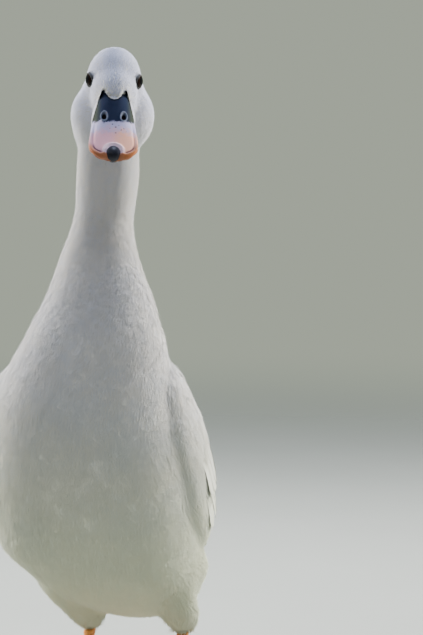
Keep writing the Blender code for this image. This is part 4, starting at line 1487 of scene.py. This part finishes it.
def in_bill(side, forward, up):
    """True where a place is inside the bill's root or just over it."""
    _, width, ridge, edge = bill_station(forward)
    if forward < BILL_ROOT_START or abs(side) > width + BILL_CLEAR or up < edge - BILL_ROOT_LOW:
        return False
    reach = min(1.0, abs(side) / width) ** (1 / BILL_ROUNDNESS)
    arch = sin(acos(reach)) ** at_key(BILL_FLATNESS, forward)
    return up < edge + (ridge - edge) * arch + BILL_CLEAR


def coat_grows(point, from_crown):
    """False inside the bill's root, over the eyes and on the bare bill."""
    for inverse in EYE_INVERSES:
        here = inverse @ Vector(point) / MM
        off = hypot(here.x / EYE_CLEAR[0], (here.y + LID_LOWERED) / EYE_CLEAR[1])
        if 0 < here.z < EYE_CLEAR_DEPTH and off < 1:
            return False
    if from_crown > FACE_END:
        return True
    place = head_place(point)
    return bare_depth(*place) <= -BARE_CLEAR and not in_bill(*place)


def bill_top_at(forward, turn):
    """A place on the upper bill and the way out of it there."""
    station = _, width, ridge, edge = bill_station(forward)
    side, up = bill_arc(station, turn)
    out = Vector((cos(turn) * (ridge - edge), 0, sin(turn) * width)).normalized()
    return head_point(side, forward, up), (HEAD_TURN @ out).normalized()


def bill_apron(coat):
    """Short feathers over the bill's root, back from the edge of the bare bill."""
    lines = []
    for i, k in itertools.product(range(APRON_ROWS), range(APRON_ROUND)):
        forward = APRON_START + (i + rng.random()) * APRON_STEP
        turn = pi * (k + rng.random()) / APRON_ROUND
        side, _, up = head_place(bill_top_at(forward, turn)[0])
        if forward <= BARE_END and covered_by(side, forward, up) >= APRON_EDGE:
            aside = rng.normal(0, APRON_WANDER)
            lines.append([[tuple(part) for part in bill_top_at(
                forward - APRON_LENGTH * back, turn + aside * back)] for back in (0.0, 0.5, 1.0)])
    paths, normals = np.array(lines).transpose(2, 0, 1, 3)
    headings = unit(paths[:, 2] - paths[:, 0])[:, None]
    sides = np.repeat(unit(np.cross(normals[:, :1], headings)), 3, 1)
    flat = np.full((len(paths), 1), MM)
    high = flat * APRON_HEIGHT * rng.uniform(*APRON_VARY, len(paths))[:, None] * APRON_RISE
    aside, widths = flat * APRON_ASIDE, flat * APRON_WIDTHS
    add_fans(coat, paths, normals, sides, high, aside, widths, unwrap(paths[:, 0]), (1, 1))


def make_coat(skin):
    material = plumage_material()
    surface = Surface(skin.data)
    for pieces, grow, spacings, kept in (
        (TUFT_PIECES, tufts, TUFT_SPACING, coat_grows),
        (VANE_PIECES, contour_feathers, VANE_SPACING, lambda _, far: far > VANE_START),
    ):
        spots, from_crown = scatter(surface, spacings, kept)
        for name, low, high in pieces:
            chosen = (from_crown >= low) & (from_crown < high)
            coat = Coat()
            grow(coat, surface, spots[chosen], from_crown[chosen])
            if name == "down_head":
                bill_apron(coat)
            coat.build(name, material)
    for name, side in SIDES:
        coat = Coat()
        grids, widths = draw_quills(functools.partial(wing_point, side), wing_quills())
        add_quills(coat, grids, widths, np.array(stand(*TRUNK_MIDDLE)))
        coat.build("wing_feathers_" + name, material, "wing_" + name)
    coat = Coat()
    grids, widths = draw_quills(tail_point, tail_quills())
    upper = sum(row[0] for row in TAIL_TIERS[:TAIL_UPPER_TIERS])
    for part, depth in ((slice(None, upper), -TAIL_FAR), (slice(upper, None), TAIL_FAR)):
        add_quills(coat, grids[part], widths[part], np.array(tail_point(TAIL_MIDDLE, 0, depth)))
    coat.build("tail_feathers", material, "tail")


# Floor, light and camera

FLOOR_FADE = (0.5, 2.0)
FLOOR_TONES = ((0.38, 0.40, 0.36), (0.43, 0.45, 0.41))
FRONT = (0.09, 0.104, 0.077)
HORIZON = (0.40, 0.44, 0.36)
ZENITH = (0.42, 0.47, 0.60)
# Soft lamps: name, place, size, power in watts and colour; the rim lamps leave no glare
LAMPS = (
    ("key", (-1.3, -1.9, 1.6), 1.6, 1, (1.0, 0.98, 0.95)),
    ("rim_left", (1.5, 1.15, 0.9), 1.1, 23, (1.0, 0.97, 0.93)),
    ("rim_right", (-1.8, 0.8, 0.9), 1.1, 26, (1.0, 0.97, 0.93)),
    ("top", (0.1, 0.3, 2.4), 1.4, 7, (0.66, 0.76, 1.0)),
)
LAMP_SPREAD = radians(70)
LAMP_AIM = Vector((0, 0, 0.25))


def make_stage():
    paint = grained("floor_pale", 6, 6, *FLOOR_TONES, Roughness=0.9, Specular_IOR_Level=0.1)
    away = paint.add("VectorMath", {0: paint.place()}, "Value", operation="LENGTH")
    surface, clear = Value(paint, paint.shader.outputs[0]), paint.add("BsdfTransparent")
    faded = paint.add("MixShader", {0: away.span(*FLOOR_FADE), 1: surface, 2: clear})
    paint.put(paint.tree.nodes["Material Output"].inputs["Surface"], faded)
    bm = bmesh.new()
    bmesh.ops.create_circle(bm, cap_ends=True, segments=64, radius=FLOOR_FADE[1] * 1.05)
    plate = link("floor", new_mesh("floor", bm))
    plate.data.materials.append(paint.material)
    plate.location.z = -0.0002
    world = bpy.data.worlds.new("studio")
    world.use_nodes = True
    sky = Tree(world.node_tree)
    _, back, high = sky.split(sky.place("Generated"))
    around = sky.mix(back.span(-0.6, 0.5), FRONT, HORIZON)
    colour = sky.mix(high.span(0.05, 0.8), around, ZENITH)
    sky.put(sky.tree.nodes["Background"].inputs[0], colour)
    bpy.context.scene.world = world


def place_at(obj, place, heading):
    obj.location = place
    obj.rotation_euler = heading.to_track_quat("-Z", "Y").to_euler()


def make_lamps():
    for name, place, size, power, colour in LAMPS:
        light = with_settings(bpy.data.lights.new(name, "AREA"), {
            "shape": "DISK", "size": size, "energy": power, "color": colour, "spread": LAMP_SPREAD})
        lamp = link(name, light)
        lamp.visible_glossy = not name.startswith("rim")
        place_at(lamp, place, LAMP_AIM - Vector(place))


def make_camera():
    turned = Matrix.Rotation(CAMERA_TURN, 3, "Z")
    toward = turned @ Vector((0, -cos(CAMERA_RISE), sin(CAMERA_RISE)))
    aim = SHIFT + turned @ Vector((AIM_ASIDE, 0, AIM_HEIGHT))
    camera = link("camera", bpy.data.cameras.new("camera"))
    camera.data.lens = CAMERA_LENS
    place_at(camera, aim + toward * CAMERA_DISTANCE, -toward)
    bpy.context.scene.camera = camera


make_camera()
make_stage()
make_lamps()
skin = make_skin()
make_coat(skin)
make_bill(skin)
make_eyes()
make_legs()
